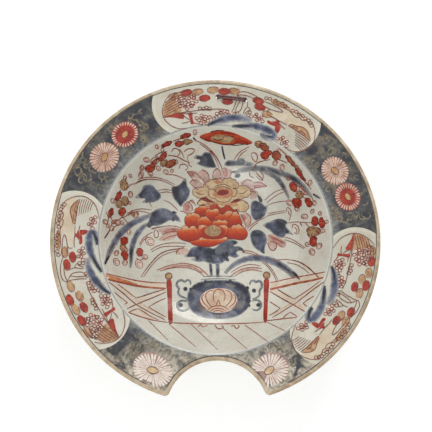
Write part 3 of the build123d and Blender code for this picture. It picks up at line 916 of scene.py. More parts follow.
# %% Cobalt leaves
leaf_outlines = (
    ((135, 197.5), (141, 191), (143, 186), (148, 184.5), (153, 185.5), (156, 189), (160, 193), (161, 198),
     (155, 202), (147, 203), (142, 202.5), (145, 199), (140, 198.5)),
    ((186, 178), (183, 180), (180, 184), (176, 186), (171.5, 187), (172, 194), (174, 199), (178, 204),
     (181, 207), (184, 203), (187, 200), (189.5, 195), (190, 190), (187.5, 186)),
    ((150, 214), (154, 210.5), (160, 208), (166, 208.5), (171, 211), (175, 213.5), (178, 216), (181, 222),
     (176, 221), (170, 220.5), (165, 223), (158, 226), (153, 226), (149, 228), (147, 225), (149, 219)),
    ((251, 203), (254, 200.5), (258, 201), (262, 203), (265, 206), (267.5, 205), (267, 210), (264.5, 216),
     (260, 220), (255, 220.5), (251.5, 216), (250.5, 209)),
    ((263, 225), (270, 221.5), (276, 219), (282, 219), (287.5, 222), (286, 226), (290, 231), (293.5, 235),
     (287, 234), (283, 238), (276, 236), (270, 231)),
    ((250, 236), (252, 231), (257, 229.5), (262, 231), (266, 235), (267, 242), (265, 248), (264.5, 254),
     (259, 251), (253, 246)),
    ((184.5, 256.5), (188, 251.5), (192, 247.5), (197, 246), (203, 245.5), (209, 247), (214, 248.3),
     (219, 244.5), (224, 241), (230, 239.3), (236, 240.5), (238.3, 243), (233.5, 246), (239, 246),
     (242.5, 248), (244, 251.3), (239, 250.8), (236.5, 253), (239.5, 255.8), (235, 258), (230, 256.5),
     (228, 257.5), (229.3, 261), (225, 261), (221.5, 263.5), (215, 264), (209, 263.5), (204, 261.6),
     (198, 262), (193.5, 260.8), (190.5, 259.3), (195, 257.5), (189, 257.4)),
    ((193.5, 158), (197, 155), (201, 155.5), (204, 152.5), (208, 152), (211.5, 154), (213, 158),
     (215, 163), (216.5, 167.5), (210, 168), (204, 167), (199, 165), (196, 163.5), (200, 160.5)),
)
leaf_stalks = (
    ((2.6, 3.0, 3.0, 2.8, 2.4), ((210, 260), (210.4, 265), (211, 270), (211.6, 277)), stem_lift),
    ((3.6, 3.8, 3.6, 3.4, 3.0), ((217.5, 259), (217.6, 265), (217.8, 271), (217.6, 277.5)), stem_lift),
)
# Where the blue pooled: the pixel, the radius in millimetres and how strongly
leaf_pools = (
    ((138, 197), 4.0, 0.8), ((159, 197), 4.0, 0.8), ((149, 202.5), 4.0, 0.7), ((143, 190), 3.0, 0.3),
    ((174, 190), 6.0, 1.0), ((184, 181), 5.0, 0.9), ((180, 204), 5.0, 0.8), ((173, 197), 5.0, 0.5),
    ((153, 213), 6.0, 0.8), ((149.5, 225), 4.5, 0.9), ((163, 222), 4.5, 0.6), ((178, 218), 4.0, 0.6),
    ((260, 198), 4.0, 1.0), ((266, 206), 3.5, 0.8), ((253.5, 203), 4.0, 0.6), ((260, 217), 5.0, 0.6),
    ((252, 213), 3.0, 0.4), ((281, 220.5), 5.5, 1.0), ((290, 233), 4.5, 0.9), ((275, 236), 5.0, 0.6),
    ((268, 226), 4.0, 0.4), ((282, 228), 4.0, 0.5), ((257, 231.5), 6.0, 1.0), ((252.5, 244), 4.5, 0.8),
    ((263, 252), 4.0, 0.8), ((187, 255), 4.5, 0.8), ((208, 252), 5.5, 0.8), ((199, 247.5), 3.5, 0.5),
    ((197, 257), 4.0, 0.4), ((217, 252), 4.5, 0.7), ((241, 248.5), 5.0, 1.0), ((231, 241), 4.0, 0.5),
    ((227, 254), 4.0, 0.4), ((197, 159), 5.5, 0.8), ((210, 162), 4.5, 0.7), ((215, 166), 4.5, 0.8),
    ((206, 153.5), 3.0, 0.3), ((209.5, 259.6), 2.4, 1.0), ((211.3, 272), 3.6, 1.0),
    ((217.7, 273.5), 3.4, 1.0), ((225, 254.5), 2.4, 1.0), ((227.5, 259.5), 2.2, 1.0),
    ((197, 257.5), 1.6, 0.8), ((236.5, 242), 2.2, 0.8), ((200, 248), 1.6, 0.8), ((242, 250), 2.0, 1.0),
)
painted("cobalt_leaves", "cobalt_wash", wash_lift, leaf_outlines, leaf_stalks, leaf_pools,
        ("blue_leaves", "flower_stems"))

# %% Long blades
# Each blade as its widths from end to end, in millimetres, and its route
blade_strokes = (
    ((1.8, 4.4, 5.2, 5.0, 4.8, 4.2, 1.6), ((153, 214), (145, 217.5), (136, 221.5), (128, 226.5),
     (119, 235.5), (111, 249), (105, 264))),
    ((1.5, 3.8, 4.8, 4.6, 4.2, 3.2, 1.2), ((152, 221.5), (144, 226.5), (138, 233), (134, 241),
     (131.5, 250), (131, 260), (130.5, 268))),
    ((2.6, 4.2, 5.4, 6.2, 6.4, 6.4, 5.4, 2.0), ((225, 273.5), (231, 267), (240, 261.3), (252, 258),
     (264, 259), (274, 262), (284, 267.4), (294, 275.4), (301.5, 283))),
)
blade_pools = (
    ((107, 260), 6.5, 1.0), ((112, 249), 5.0, 0.7), ((120, 236), 4.0, 0.4), ((150, 216), 4.0, 0.6),
    ((131, 263), 5.5, 1.0), ((133, 252), 5.5, 0.8), ((135, 239), 4.0, 0.5), ((148, 224), 4.0, 0.5),
    ((281, 263.5), 5.5, 0.8), ((292, 272), 6.0, 1.0), ((299, 280), 5.5, 1.0), ((229, 271), 4.5, 0.6),
    ((247, 259), 3.5, 0.3), ((266, 259), 3.5, 0.4),
)
grey_blade_strokes = (
    ((2.4, 4.2, 4.6, 4.2, 4.4, 4.4, 4.0, 2.0), ((234, 173), (243, 170), (255, 168.5), (269, 169.8),
     (283, 174), (294, 179), (303, 187), (311, 196.5))),
    ((2.4, 3.6, 3.6, 3.2, 1.6), ((262, 170.5), (271, 174), (278, 179.5), (284, 188), (289, 198.5))),
    ((1.0, 1.6, 0.8), ((313, 194), (317, 196.5), (320.5, 198.6))),
)
grey_blade_bend = (
    ((224, 165), (226, 161.5), (230, 160), (236, 160.5), (239, 158.5), (243, 158), (246, 161),
     (254, 163.5), (251, 166), (243, 166), (235, 166), (228, 166.5)),
)
grey_blade_pools = (
    ((235, 172.5), 3.5, 0.9), ((262, 169), 3.5, 0.4), ((294, 178), 5.0, 0.8), ((303, 186), 5.5, 1.0),
    ((310, 195), 5.0, 1.0), ((283, 186), 4.5, 0.5), ((289, 197), 4.0, 0.6), ((227, 163), 4.5, 1.0),
    ((248, 163), 3.0, 0.3), ((275, 171), 3.5, 0.4),
)
painted("cobalt_blades", "cobalt_wash", wash_lift, (), blade_strokes, blade_pools, ("blue_blades",))
painted("grey_blades", "cobalt_grey", wash_lift, grey_blade_bend, grey_blade_strokes, grey_blade_pools)

# %% Knots of black-blue, and the grey upper half of one leaf
grey_leaf_top = (
    ((215.5, 249.5), (220, 245.5), (225, 242), (231, 240.6), (235, 242), (232, 245.4), (237, 247.6),
     (239.6, 249.6), (234, 251), (229, 250.5), (224, 253), (219, 254.6), (215.4, 253.4)),
)
grey_leaf_pools = (((235, 241.5), 2.4, 1.0),)
knot_outlines = (
    ((171.5, 219.5), (173, 216.5), (175.2, 217), (175, 220), (173, 221.5)),
    ((171.5, 212.5), (173.5, 211), (177, 213), (174, 213.8)),
    ((147, 226), (148.5, 223), (151, 222.8), (152, 225), (149.5, 228)),
    ((234.5, 176.5), (236.5, 174), (240, 174), (240.5, 176.2), (237.5, 178)),
    ((230.5, 172.5), (233, 171), (236, 171.3), (233.5, 173)),
    ((257.5, 195), (259.6, 196), (262.2, 199.5), (262, 202.3), (259.4, 201.5), (258.2, 198.5)),
    ((276, 219.6), (281, 219), (286, 221.3), (287.6, 223.4), (283, 223.6), (279.5, 221.4)),
    ((252, 232), (256, 230.3), (260, 231), (262, 233), (257, 233.6), (253, 234.3)),
    ((240.5, 247.5), (243, 249), (245, 252), (242, 251.5)),
    ((207.3, 259.5), (209.3, 257.6), (211.3, 259.2), (210.6, 261.8), (208, 262)),
    ((221.5, 253.3), (224.5, 252.6), (226.5, 256), (229, 259.4), (228, 261.6), (225, 259.8),
     (222.4, 257.2)),
)
knot_strokes = (
    ((0.8, 1.6, 0.8), ((105, 264.5), (107, 259.5), (109.5, 255.5))),
    ((0.8, 1.8, 0.8), ((292, 271.5), (296, 275), (299.5, 279.5))),
)
painted("grey_leaf_top", "cobalt_olive", wash_lift + 0.03, grey_leaf_top, (), grey_leaf_pools)
painted("cobalt_knots", "cobalt_black", accent_lift, knot_outlines, knot_strokes)

# %% [markdown]
# Pink leaves and grasses.
# Behind the bouquet stand leaves washed in a thin pink, each with a fine red-brown outline and a
# vein or two, and long grasses drawn as two thin lines side by side. A leaf could be one shape
# whose finish darkens at its edge, but its outline wanders off the wash, as a quick hand leaves
# it. So the wash is filled first, and the lines are strokes of their own, laid over it.

# %% Pink leaves
pink_leaf_outlines = (
    ((187, 172), (193, 170.5), (198, 172), (201.5, 170), (205, 170.5), (208.5, 175), (209, 180),
     (206, 184.5), (202, 180), (196, 178), (191, 177)),
    ((190, 183), (192, 180), (197, 179), (201.5, 183), (206.5, 184.5), (202, 188), (196.5, 189),
     (193, 186)),
    ((212.5, 178), (213.5, 172.5), (217, 169), (222, 170.5), (226, 168.5), (230, 170), (230, 175),
     (228, 178.5), (220, 178)),
    ((240, 183), (243.5, 180.5), (248, 179.5), (253, 181.5), (259, 182), (266.5, 186), (259, 187),
     (252, 190), (247, 188), (243, 185.5)),
    ((251, 190), (256, 190.5), (258.5, 194.5), (255, 199), (250, 198.5), (250.5, 194)),
    ((240.5, 214.5), (245, 213), (250, 216), (251, 222), (247, 226.5), (242.5, 223), (241, 218)),
    ((183, 206), (187, 202), (191.5, 205.5), (193, 210), (188.5, 214), (183.5, 211.5)),
    ((157, 230.5), (164, 227.8), (175, 227.5), (180, 230), (177, 236), (168, 240.5), (159, 240),
     (163, 234)), ((176.5, 250), (182, 248), (188, 249.5), (187.5, 254), (179, 254.5)),
    ((268, 236), (272.5, 234), (280, 238), (286, 242.5), (284.5, 247.5), (280, 247), (276, 246),
     (273.5, 249.5), (269.5, 248.5), (267.5, 242)),
    ((157, 270), (166, 266.3), (176, 264), (190, 263.8), (200, 267.5), (209, 276), (198, 270.5),
     (186, 267.5), (172, 267.8)),
    ((262, 268.5), (254, 267.5), (244, 268.5), (236, 272), (229, 277.5), (238, 273), (248, 270.5)),
)
pink_leaf_shades = (
    ((188, 172.5), (193, 171.5), (194, 176.5), (191, 176.5)),
    ((240.8, 216), (244, 214.5), (246, 218), (243.5, 222)),
    ((184, 207), (187, 203.5), (190, 207), (187, 211.5)),
    ((164, 231), (172, 228.3), (178, 229), (175, 232), (167, 233.5)),
    ((270, 236), (276, 237.5), (284, 243), (278, 243.5), (272, 240)),
    ((253, 186), (259, 184.8), (265, 186), (257, 188.5)),
    ((222, 171), (226, 169.5), (228, 174), (225, 177)),
)
painted("pink_leaves", "pink_wash", wash_lift + 0.03, pink_leaf_outlines)
painted("pink_leaf_shades", "petal_pink_deep", body_lift, pink_leaf_shades)

# %% Grasses
grass_routes = (
    ((134, 184.3), (141, 180.8), (150, 179.3), (160, 180.3), (168, 183.3), (175, 187)),
    ((138, 179.6), (147, 177.5), (157, 177.8), (166, 180.4), (175, 184.8)),
    ((158, 190.6), (165, 189.5), (172, 190.6)), ((160, 193), (167, 192), (174, 193.6)),
    ((127, 214), (133, 210.6), (142, 209), (152, 210)),
    ((128, 215.5), (135, 211.8), (143, 211.6), (152, 214)),
    ((194, 140), (201, 143), (207, 147), (213, 152.5), (217, 158.5), (220, 164), (222, 168.5)),
    ((200, 144), (206, 148.3), (212, 154), (216, 160.5), (219, 168)),
    ((234, 160), (238, 154), (243, 150), (249, 147)), ((237.5, 160), (241, 154.5), (247, 150)),
    ((265, 200), (270, 195.5), (277, 191), (285, 188.8)),
    ((267, 203), (272, 198.5), (279, 194), (287, 190.8)), ((268, 205.3), (275, 202.6), (287, 201)),
    ((268, 214), (274, 212.4), (285, 210.6)), ((266, 216.4), (276, 213.8), (285, 212.6)),
    ((256, 163.8), (262, 161.4), (270, 159.6)), ((284, 237), (291, 239), (298, 243), (305, 248)),
    ((284, 239.6), (290, 241.4), (297, 244.6), (304, 249)),
    ((262, 262), (268, 267), (273, 274), (276.5, 281)),
    ((264.5, 262), (270.5, 267.5), (275, 274.5), (278, 280)), ((272, 260.2), (285, 259.5), (292, 260.2)),
    ((287, 262.6), (296, 264.6), (304, 269), (309, 273.5)),
    ((141, 277), (145, 271), (151, 263), (158, 255.5), (164, 252)),
    ((143.5, 277), (148, 270.5), (155, 261.8), (162, 256), (170, 252.6), (178, 251)),
    ((150.5, 250), (157, 246.2), (166, 243.5), (176, 242.8), (186, 243.5)),
    ((152, 251.5), (162, 247), (175, 246.3), (185, 246.6)),
    ((157, 270.3), (166, 266.4), (176, 264.2), (186, 263.5), (197, 266.5), (203, 270.5), (209.5, 277)),
    ((160, 271), (172, 268), (185, 267.5), (196, 270.5), (204, 276)),
    ((164, 269.5), (180, 265.8), (192, 266.8), (202, 273)),
    ((262, 268.6), (254, 267.4), (244, 268.5), (236, 272), (229, 277.5)),
    ((262, 271.5), (252, 270), (243, 271.6), (234, 276.5)),
    ((260, 265.8), (250, 264.5), (240, 267), (231, 272.5)),
    ((139.5, 244), (143.5, 238), (149, 234), (153, 232)),
    ((164, 200), (170, 203), (174.5, 207), (178, 210.5)),
    ((288, 223), (296, 222), (304, 222.6), (311, 222.8)),
    ((242, 250.5), (250, 251.2), (256, 253.6), (261, 257)), ((242, 252.6), (250, 253.4), (257, 256)),
    ((152, 229), (158, 227.4), (168, 226), (177, 226.6), (183, 229.5)), ((148, 200), (152, 207)),
)
painted("drawn_grasses", "line_soft", detail_lift, strokes=strokes_of(grass_line, grass_routes))

# %% Outlines and veins of the pink leaves
vein_routes = (
    ((187, 172), (191, 177), (194, 181)), ((187, 171.5), (194, 172.5), (199, 176), (203, 180)),
    ((202, 170), (206, 171.5), (209, 176), (209, 181)), ((203, 179), (204.5, 183), (206, 185)),
    ((189.5, 183.5), (192, 180.5), (196, 180.5)), ((191, 184), (195, 188), (199, 190)),
    ((212.5, 178), (213.5, 172), (217, 168.5), (219.5, 171), (221, 176)),
    ((221, 170), (225, 168), (227, 172), (226, 177.5)), ((230.5, 169), (231, 174), (229.5, 179)),
    ((212.5, 178.2), (217, 179.5), (222, 178), (228, 179)), ((242, 184.5), (246, 180), (252, 181)),
    ((254, 183), (259, 182), (263, 184), (267, 186.3)), ((250.5, 190), (257, 187.8), (267, 186.3)),
    ((251, 191), (256, 192.5)), ((240.5, 214.5), (243, 218), (245, 223), (246, 228)),
    ((246, 213), (250.5, 217), (250.5, 223), (247, 227)),
    ((247, 229), (250, 226), (254, 223), (258, 221), (266, 217)), ((249, 231), (252, 227), (258, 222.5)),
    ((183, 206), (188, 201.8), (192, 206), (193, 210.5)), ((180, 211), (184, 212), (188, 214.5)),
    ((188, 203), (192, 200), (196, 206)), ((190, 200), (194, 204)),
    ((268, 235.5), (273, 238), (279, 240.5), (286, 243)), ((270, 241), (276, 243), (283, 247.5)),
    ((274, 250), (276.5, 246.5), (276, 243)), ((267.5, 243), (270, 249), (274, 250.5), (277, 247)),
    ((162, 234.5), (169, 232), (177, 231.5)), ((163, 240), (170, 236.5), (177, 235)),
    ((176.5, 254.5), (177, 250.5), (183, 247.5)),
    ((155.5, 229.5), (154, 233), (155, 237.5), (158, 237), (158.5, 233.5), (156.5, 230)),
    ((251, 153.5), (255, 153), (257.5, 157), (256, 162), (252.5, 159), (251, 154.5)),
    ((249.5, 172.5), (250, 176), (254, 178)),
    ((256, 172.5), (259, 176), (263, 180), (260, 180), (256.5, 176.5)),
    ((260, 171.5), (263.5, 176), (262, 180)), ((252.5, 171), (256, 164), (262, 161)),
    ((286, 212), (287.5, 207.5), (291, 211), (290.5, 216), (289, 220.5)), ((288, 211), (289.5, 215.5)),
    ((292, 228.5), (293, 224.5), (297, 225.5), (299, 230), (297.5, 234), (294, 232.5)),
    ((294.5, 227), (297, 230.5), (296, 233)), ((300, 223), (302, 226)),
    ((184, 152), (188, 149), (194.5, 149.5), (193, 153), (188, 156), (187.5, 160)),
    ((171.5, 152), (174, 148.5), (178, 149.5), (180, 153.5), (177.5, 156)),
    ((179, 149), (182, 153), (184, 158)),
    ((179, 169), (180.5, 165), (185, 164.5), (188, 168), (185, 170.5)),
    ((188, 160), (189, 165), (192, 167)), ((168, 155.5), (176, 156.5), (184, 160.5), (190, 163)),
    ((166, 174.5), (174, 175), (181, 177.5), (186, 180.5)),
)
painted("leaf_veins", "loop_rose", detail_lift, strokes=strokes_of(vein_line, vein_routes))

# %% Bold grasses and two grey stems
bold_routes = (
    ((136, 183.3), (141, 180.8), (147, 179.5)),
    ((292, 260.2), (299, 262), (306, 266), (312, 271), (318.5, 277.5)),
    ((146, 269.5), (152, 262), (159, 254.8), (167, 250.8), (176, 249.2), (184, 247.8)),
    ((151.5, 229), (157, 227.6), (163, 226.7)), ((104.5, 238.5), (107.5, 234), (110, 230)),
    ((210, 150.5), (215, 155.5), (219, 162), (222, 168.5)),
)
grey_stem_routes = (((222, 146), (223, 152), (225, 159.5)), ((196, 141), (193, 137.5)))
grey_stem_width = 1.5
painted("bold_grasses", "line_brown", line_lift, strokes=strokes_of(bold_line, bold_routes))
painted("grey_stems", "cobalt_dark", body_lift, strokes=strokes_of(grey_stem_width, grey_stem_routes))

# %% [markdown]
# The great red peony.
# It is a ball of round petals. Each petal is deep red in its fold, orange red in the middle and
# cream at its lit edge, where the enamel was wiped thin. Each could be three shapes, but their
# borders would show. So a petal is one plate that remembers its fall from edge to fold, and its
# finish runs through the tones. Petals overlap from the back of the bloom to its front, each a
# hundredth of a millimetre above the last, with a dark outline round it.

# %% Petals of the red peony
peony_ground_outline = (
    (196, 209), (200, 206), (206, 203.5), (214, 203), (222, 203.5), (229, 206), (235, 209.5), (238, 213),
    (240, 220), (242.5, 225), (246, 230.5), (246, 236.5), (241, 239), (230, 239.5), (222, 242),
    (213, 245.5), (201, 245.5), (191, 243), (181, 239.5), (178, 233), (180, 229.5), (186, 226),
    (186, 219), (189, 214), (194, 212),
)
# From the back of the bloom to its front
deep_petals = (
    ((216, 207), (219, 205.3), (224, 204.8), (229, 206), (234, 208), (237.5, 211), (239, 215), (236, 217),
     (230, 215), (224, 214.5), (218, 213.5)),
)
red_petals = (
    ((194.5, 210.5), (196, 208), (198.5, 207.6), (200.5, 205.6), (203.5, 206), (206, 204.5),
     (209.5, 205.5), (210.5, 209), (208, 214), (202, 215.5), (196, 213.5)),
    ((205.5, 213), (206.5, 210.2), (209, 208.9), (211.8, 210), (214.2, 208.8), (217.6, 208.8),
     (219.2, 212), (217.5, 216), (214, 219.7), (209, 219.2), (206, 216.5)),
    ((226, 217), (228, 213), (230.6, 211.4), (233, 212.4), (235.6, 211.2), (238.5, 214), (240, 217),
     (241, 220), (242, 224), (237, 226.3), (230, 225.8), (226, 222)),
    ((184.5, 221), (185, 217), (187, 215.4), (188.5, 213.2), (191.2, 213.8), (193.2, 212.2),
     (196.3, 213.6), (199, 214.6), (201.5, 220), (200, 225), (195, 228), (189, 227.5), (185.5, 225)),
    ((214.5, 219), (215.6, 216), (218, 215.4), (219.4, 213.4), (222, 214.8), (224.2, 213.6), (226, 211.6),
     (229.5, 210.4), (232.5, 212), (231.5, 215.5), (229, 218), (227.5, 222), (222, 225.3), (216.5, 224.8),
     (214.5, 222)),
    ((196.5, 222), (197.6, 219), (199.8, 218.8), (201.4, 216.8), (203.5, 217.2), (205.4, 216),
     (207.5, 217.6), (210, 220), (212, 222), (211.5, 226.5), (207, 228.5), (201, 228.5), (197.5, 226)),
    ((211.5, 224), (213.6, 221.2), (216.4, 220.8), (219, 219.6), (222, 220.6), (225.4, 220), (228, 222.5),
     (227, 226.5), (222, 229), (215, 229), (212, 227)),
    ((189.5, 241.5), (191.6, 238.8), (194.6, 237.6), (197.2, 238.8), (203, 237), (213, 238.5), (221, 237),
     (227.5, 237.3), (226, 240.5), (220, 243.5), (214, 246), (207, 247), (199, 246.2), (192.5, 244.5)),
    ((176.8, 233.5), (178, 230), (180.6, 229.4), (182.4, 226.4), (186.5, 225.4), (189, 228), (191.4, 226),
     (194.6, 226), (196.6, 228.4), (199, 231), (201, 235), (199.5, 238.7), (194, 240.5), (188, 241),
     (182, 240), (178.3, 237.3)),
    ((226.5, 231), (228.6, 228), (230.6, 227.8), (233, 225), (236.6, 225), (238.6, 223.8), (241.6, 226),
     (244.5, 228), (247.3, 232), (247, 236.5), (243.5, 239.8), (237.5, 239.8), (230, 237.8),
     (226.5, 235)),
)
cup_outline = (
    (198, 229), (199, 225.6), (203, 224.8), (208, 226), (213, 224.8), (218, 226), (223, 224.8),
    (227, 226), (228.2, 230), (226.5, 235), (222, 238.2), (213, 239.2), (204, 238.2), (199.5, 235),
)
cup_inside = (
    (201, 229.5), (205.5, 226.6), (213, 225.8), (220.5, 226.6), (225, 229.5), (224.5, 233), (221, 236.2),
    (213, 237.5), (205, 236.2), (201.5, 233),
)
heart_notch = ((212.6, 225.4), (212.3, 227.6), (212.6, 229.6))
print("petals of the red peony:", len(deep_petals + red_petals))

# %% Red peony
petal_step = 0.012
petal_line = 0.45
notch_line = 0.5


def paint_red_peony():
    deep = Brushwork("red_peony_fold", "petal_deep", wash_lift)
    petals = Brushwork("red_peony_petals", "petal_red", wash_lift)
    edges = Brushwork("red_peony_outlines", "line_red", wash_lift)
    deep.fill(peony_ground_outline, wash_lift - petal_step)
    lift = wash_lift
    for number, outline in enumerate(deep_petals + red_petals + (cup_outline,)):
        piece = deep if number < len(deep_petals) else petals
        if piece is petals:
            lift += petal_step
        piece.fill(outline, lift)
        edges.line(petal_line, outline + outline[:1], lift + petal_step / 2)
    deep.fill(cup_inside, lift + petal_step)
    edges.line(notch_line, heart_notch, detail_lift + 0.02)
    deep.finish()
    petals.finish("red_peony")
    edges.finish()


paint_red_peony()

# %% [markdown]
# The gold peony, the red peony's heart and the peony at the top of the well.
# Gold was fired on last and at a low heat, so it wears off first: what is left is a dull tan film
# with brown outlines. Each petal could be its own plate, as in the red peony, but here one film
# covers the bloom, and its edge swells from corner to corner. The petals are drawn by their
# outlines and a few blushes and folds.

# %% Gold peony and hearts
gold_peony_outline = (
    (192.4, 192), (194.5, 188.5), (199, 187.3), (203.5, 187.4), (205, 184), (209, 181), (214, 179.6),
    (218, 178.6), (222.4, 180.2), (227, 178.4), (232.5, 179), (236.5, 182), (238.8, 186), (243, 185.4),
    (248, 187.2), (250.6, 191), (249.5, 195.5), (244, 198), (239, 199.6), (244, 200.8), (248.4, 204.5),
    (247.2, 210), (242, 212), (237, 210), (228, 206), (215, 204.8), (204, 205.2), (197.5, 204.6),
    (198.6, 200.6), (202, 198.4), (196, 197.2),
)
heart_outline = (
    (204.8, 230.8), (207, 227.2), (213, 225.4), (219, 227.2), (221.2, 230.8), (219, 234.8), (213, 236.6),
    (207, 234.8),
)
upper_heart = (
    ((211, 138), (214, 135.5), (219, 135), (224, 135.4), (229, 135.5), (234, 138), (233, 141),
     (229, 143.3), (223, 142.8), (217, 141), (212, 140.3)),
)
gold_blushes = (
    ((213, 194), (217, 189), (224, 187.8), (231, 189), (233.5, 193), (229, 197.5), (221, 198.5),
     (215, 197)),
    ((206, 202), (213, 203), (224, 203.5), (236, 203), (238, 206), (229, 205.8), (216, 204.8),
     (208, 204.6)), ((213, 181), (218, 180), (222, 182.5), (217, 184)),
)
gold_folds = (
    ((217.5, 193), (219, 190.6), (223, 189.6), (228, 190.4), (229.2, 192.2), (226, 194.7), (221, 195.7),
     (218, 194.7)),
    ((200, 198.4), (205, 197.4), (210, 199.8), (214.5, 202.6), (208, 202.2), (203, 200.4)),
    ((230.5, 202.7), (235, 199.8), (239, 198.4), (240.4, 200.6), (236, 202.5)),
)
petal_depth = 0.22
gold_peony_edge = lobed(gold_peony_outline, petal_depth)
painted("gold_peony_petals", "petal_gold", wash_lift + 0.02, (gold_peony_edge,), stands_for=("gold_peony",))
painted("gold_peony_blush", "petal_blush", body_lift, gold_blushes)
painted("peony_hearts", "gold_worn", detail_lift, (heart_outline,) + upper_heart,
        stands_for=("red_peony_heart", "upper_peony_heart"))
painted("gold_peony_folds", "iron_red_deep", accent_lift, gold_folds, stands_for=("gold_peony_heart",))

# %% Upper peony
upper_peony_outline = (
    ((199.5, 137), (203, 134.3), (208, 133), (214, 131.3), (222, 130.8), (230, 131.8), (236, 133.8),
     (242, 136.5), (248, 139.3), (252.5, 142.6), (249, 144.7), (243, 143.8), (236, 143.3), (230, 144.8),
     (222, 144.3), (214, 142.3), (208, 141.8), (203, 139.8)),
)
upper_folds = (
    ((203, 138.5), (207, 136.3), (210, 138.6), (211.5, 141.4), (206, 141)),
    ((236, 137.5), (243, 139.8), (250.5, 142.8), (248, 144.2), (240, 143), (235, 141.8)),
    ((212, 132.5), (220, 131.3), (229, 132.2), (235, 135), (229, 134.6), (220, 133.6), (214, 134)),
)
painted("upper_peony_ground", "orange_red", wash_lift + 0.04, upper_peony_outline,
        stands_for=("upper_peony",))
painted("upper_peony_folds", "peony_deep", body_lift, upper_folds)

# %% Outlines of both peonies
peony_outlines = (
    ((202, 198.4), (207, 196.5)), ((222.4, 180.2), (222.5, 183)),
    ((238.8, 186), (237, 188.5), (233, 188.2)), ((205, 186), (208, 187.5), (209.5, 189.5)),
    ((215.4, 191.8), (216.4, 188.6), (220, 187), (226, 187.2), (231, 189.4)),
    ((214.8, 190), (215.3, 187), (219, 185.2), (223.5, 184.2), (228.5, 186), (232, 188)),
    ((232.5, 188.5), (236, 189.5), (237, 193), (234.5, 196.4), (231.3, 196.3)),
    ((208.7, 189.8), (208.2, 193.8), (210.4, 197.4), (214.5, 198.8)),
    ((209, 189.5), (213, 189.2), (215.4, 191.8)),
    ((214.8, 198), (218, 201.2), (223, 202.3), (228, 201.6), (231, 198.6), (232.3, 195.5)),
    ((239, 199.6), (233.5, 200.2)), ((196, 192), (200, 194.5), (205, 194)),
    ((247, 190.5), (243, 193.6), (239, 193.4)), ((199, 200), (205, 197.6), (210, 200.2), (215, 203)),
    ((197, 204.6), (198.4, 201.2), (201, 200)), ((216, 191.4), (217.5, 193.3), (217.6, 195)),
    ((231, 203.4), (235, 200), (239.5, 198.6)), ((199, 205.6), (205, 204.2), (211, 204.4)),
)
peony_dark_outlines = (
    ((200, 137.2), (206, 139.8), (214, 142.4), (222, 144.4), (231, 144.8), (238, 143.5), (248, 145)),
    ((213, 138.6), (217.5, 140.4), (222.8, 139), (224, 136.2)),
    ((224.5, 136), (230.5, 136.2), (234.3, 138.6), (231, 142.4)),
    ((210.8, 131.8), (218, 130.6), (224, 130.8)), ((230, 145), (236, 145.4), (244, 144.6)),
)
gold_edge_route = gold_peony_edge + gold_peony_edge[:1]
painted("peony_outlines", "line_brown", line_lift,
        strokes=strokes_of(fine_line, peony_outlines + (gold_edge_route,)))
painted("peony_dark_outlines", "line_dark", line_lift, strokes=strokes_of(fine_line, peony_dark_outlines))

# %% [markdown]
# Plum sprays along the wall.
# Small blossoms run round the wall of the well: red ones, rust ones, gold ones, and some that are
# only drawn as loops round a faint blush. No two are alike, and the wall's slope squeezes them in
# the photograph, so each is outlined where it is seen, and gets its true shape on the slope by
# itself. Its outline is given by a few corners, and the sides between them swell to petals.

# %% Blossoms of the plum
red_blossoms = (
    ((115, 200.5), (116, 196), (119, 192), (121.5, 192), (121.5, 196), (119, 199.5)),
    ((108.5, 214), (110, 209.5), (112.5, 208), (113.5, 211), (111.5, 216), (109.5, 218)),
    ((118.5, 214), (120, 209), (123, 207.5), (125.5, 209), (125, 213.5), (122, 216)),
    ((120.5, 241.5), (122.5, 237.5), (127, 237.5), (128, 240), (126.5, 244), (122, 245)),
    ((121, 253), (124, 251), (127.5, 253), (128, 257), (125.5, 260.5), (122.5, 257)),
    ((136.5, 251), (139, 248), (142, 249), (143, 253), (140, 256.5), (137, 254.5)),
    ((144.5, 169), (147, 166), (150, 165), (154, 164), (155, 167), (153, 171), (149.5, 172.5),
     (146, 171)),
    ((158, 160), (160, 156.5), (163, 153.5), (166, 152.5), (167, 155), (164, 159), (160.5, 161.5)),
    ((161, 146), (164, 143.5), (169, 141.5), (172, 141.5), (171, 144), (166, 146.5), (162, 147.5)),
    ((174.5, 144), (177, 141.5), (181, 141.5), (184, 142.5), (181.5, 146), (177.5, 147)),
    ((180, 137), (183, 134.5), (187, 133.5), (191, 134.5), (190, 136.5), (185, 138), (181, 139)),
    ((260.5, 154), (264, 151.5), (269, 150.5), (272, 152.5), (269, 156), (267, 159), (263, 159),
     (261, 156.5)),
    ((289.5, 184), (292, 182), (295.5, 184), (297, 188.5), (296, 192), (292, 190.5), (290, 188)),
    ((292, 199.5), (296, 198.5), (300, 199.5), (301.5, 203), (300, 207), (296, 208), (293, 204.5)),
    ((305, 198.5), (308, 198), (311, 201), (312, 205), (309.5, 207.5), (306, 204)),
    ((311.5, 220), (314, 216.5), (317, 217.5), (318, 221.5), (316.5, 226), (313, 225.5)),
    ((319, 220), (321, 217), (323.5, 220), (325, 225), (322, 228.5), (319.5, 226)),
    ((309.5, 240), (312.5, 236), (316, 237), (316.5, 241), (315, 246.5), (311, 245.5), (309.5, 243)),
    ((295, 168.5), (297, 168), (300, 172), (303, 176.5), (306, 181), (303, 180), (299, 176), (296, 172)),
)
rust_blossoms = (
    ((165, 166), (168, 162), (172, 160), (175.5, 160), (176, 163), (173, 166.5), (168, 168)),
    ((259, 144.5), (263, 143), (267, 145.5), (269, 148.5), (266, 150.5), (261, 149)),
    ((272, 153), (276, 151), (280, 153.5), (281, 157), (278, 160), (273.5, 159)),
    ((285, 156), (288, 156), (292, 160), (295, 164.5), (293, 166.5), (290, 163), (287, 159.5)),
    ((151, 164), (154, 160), (159, 157.5), (157, 161), (154, 164.5)),
)
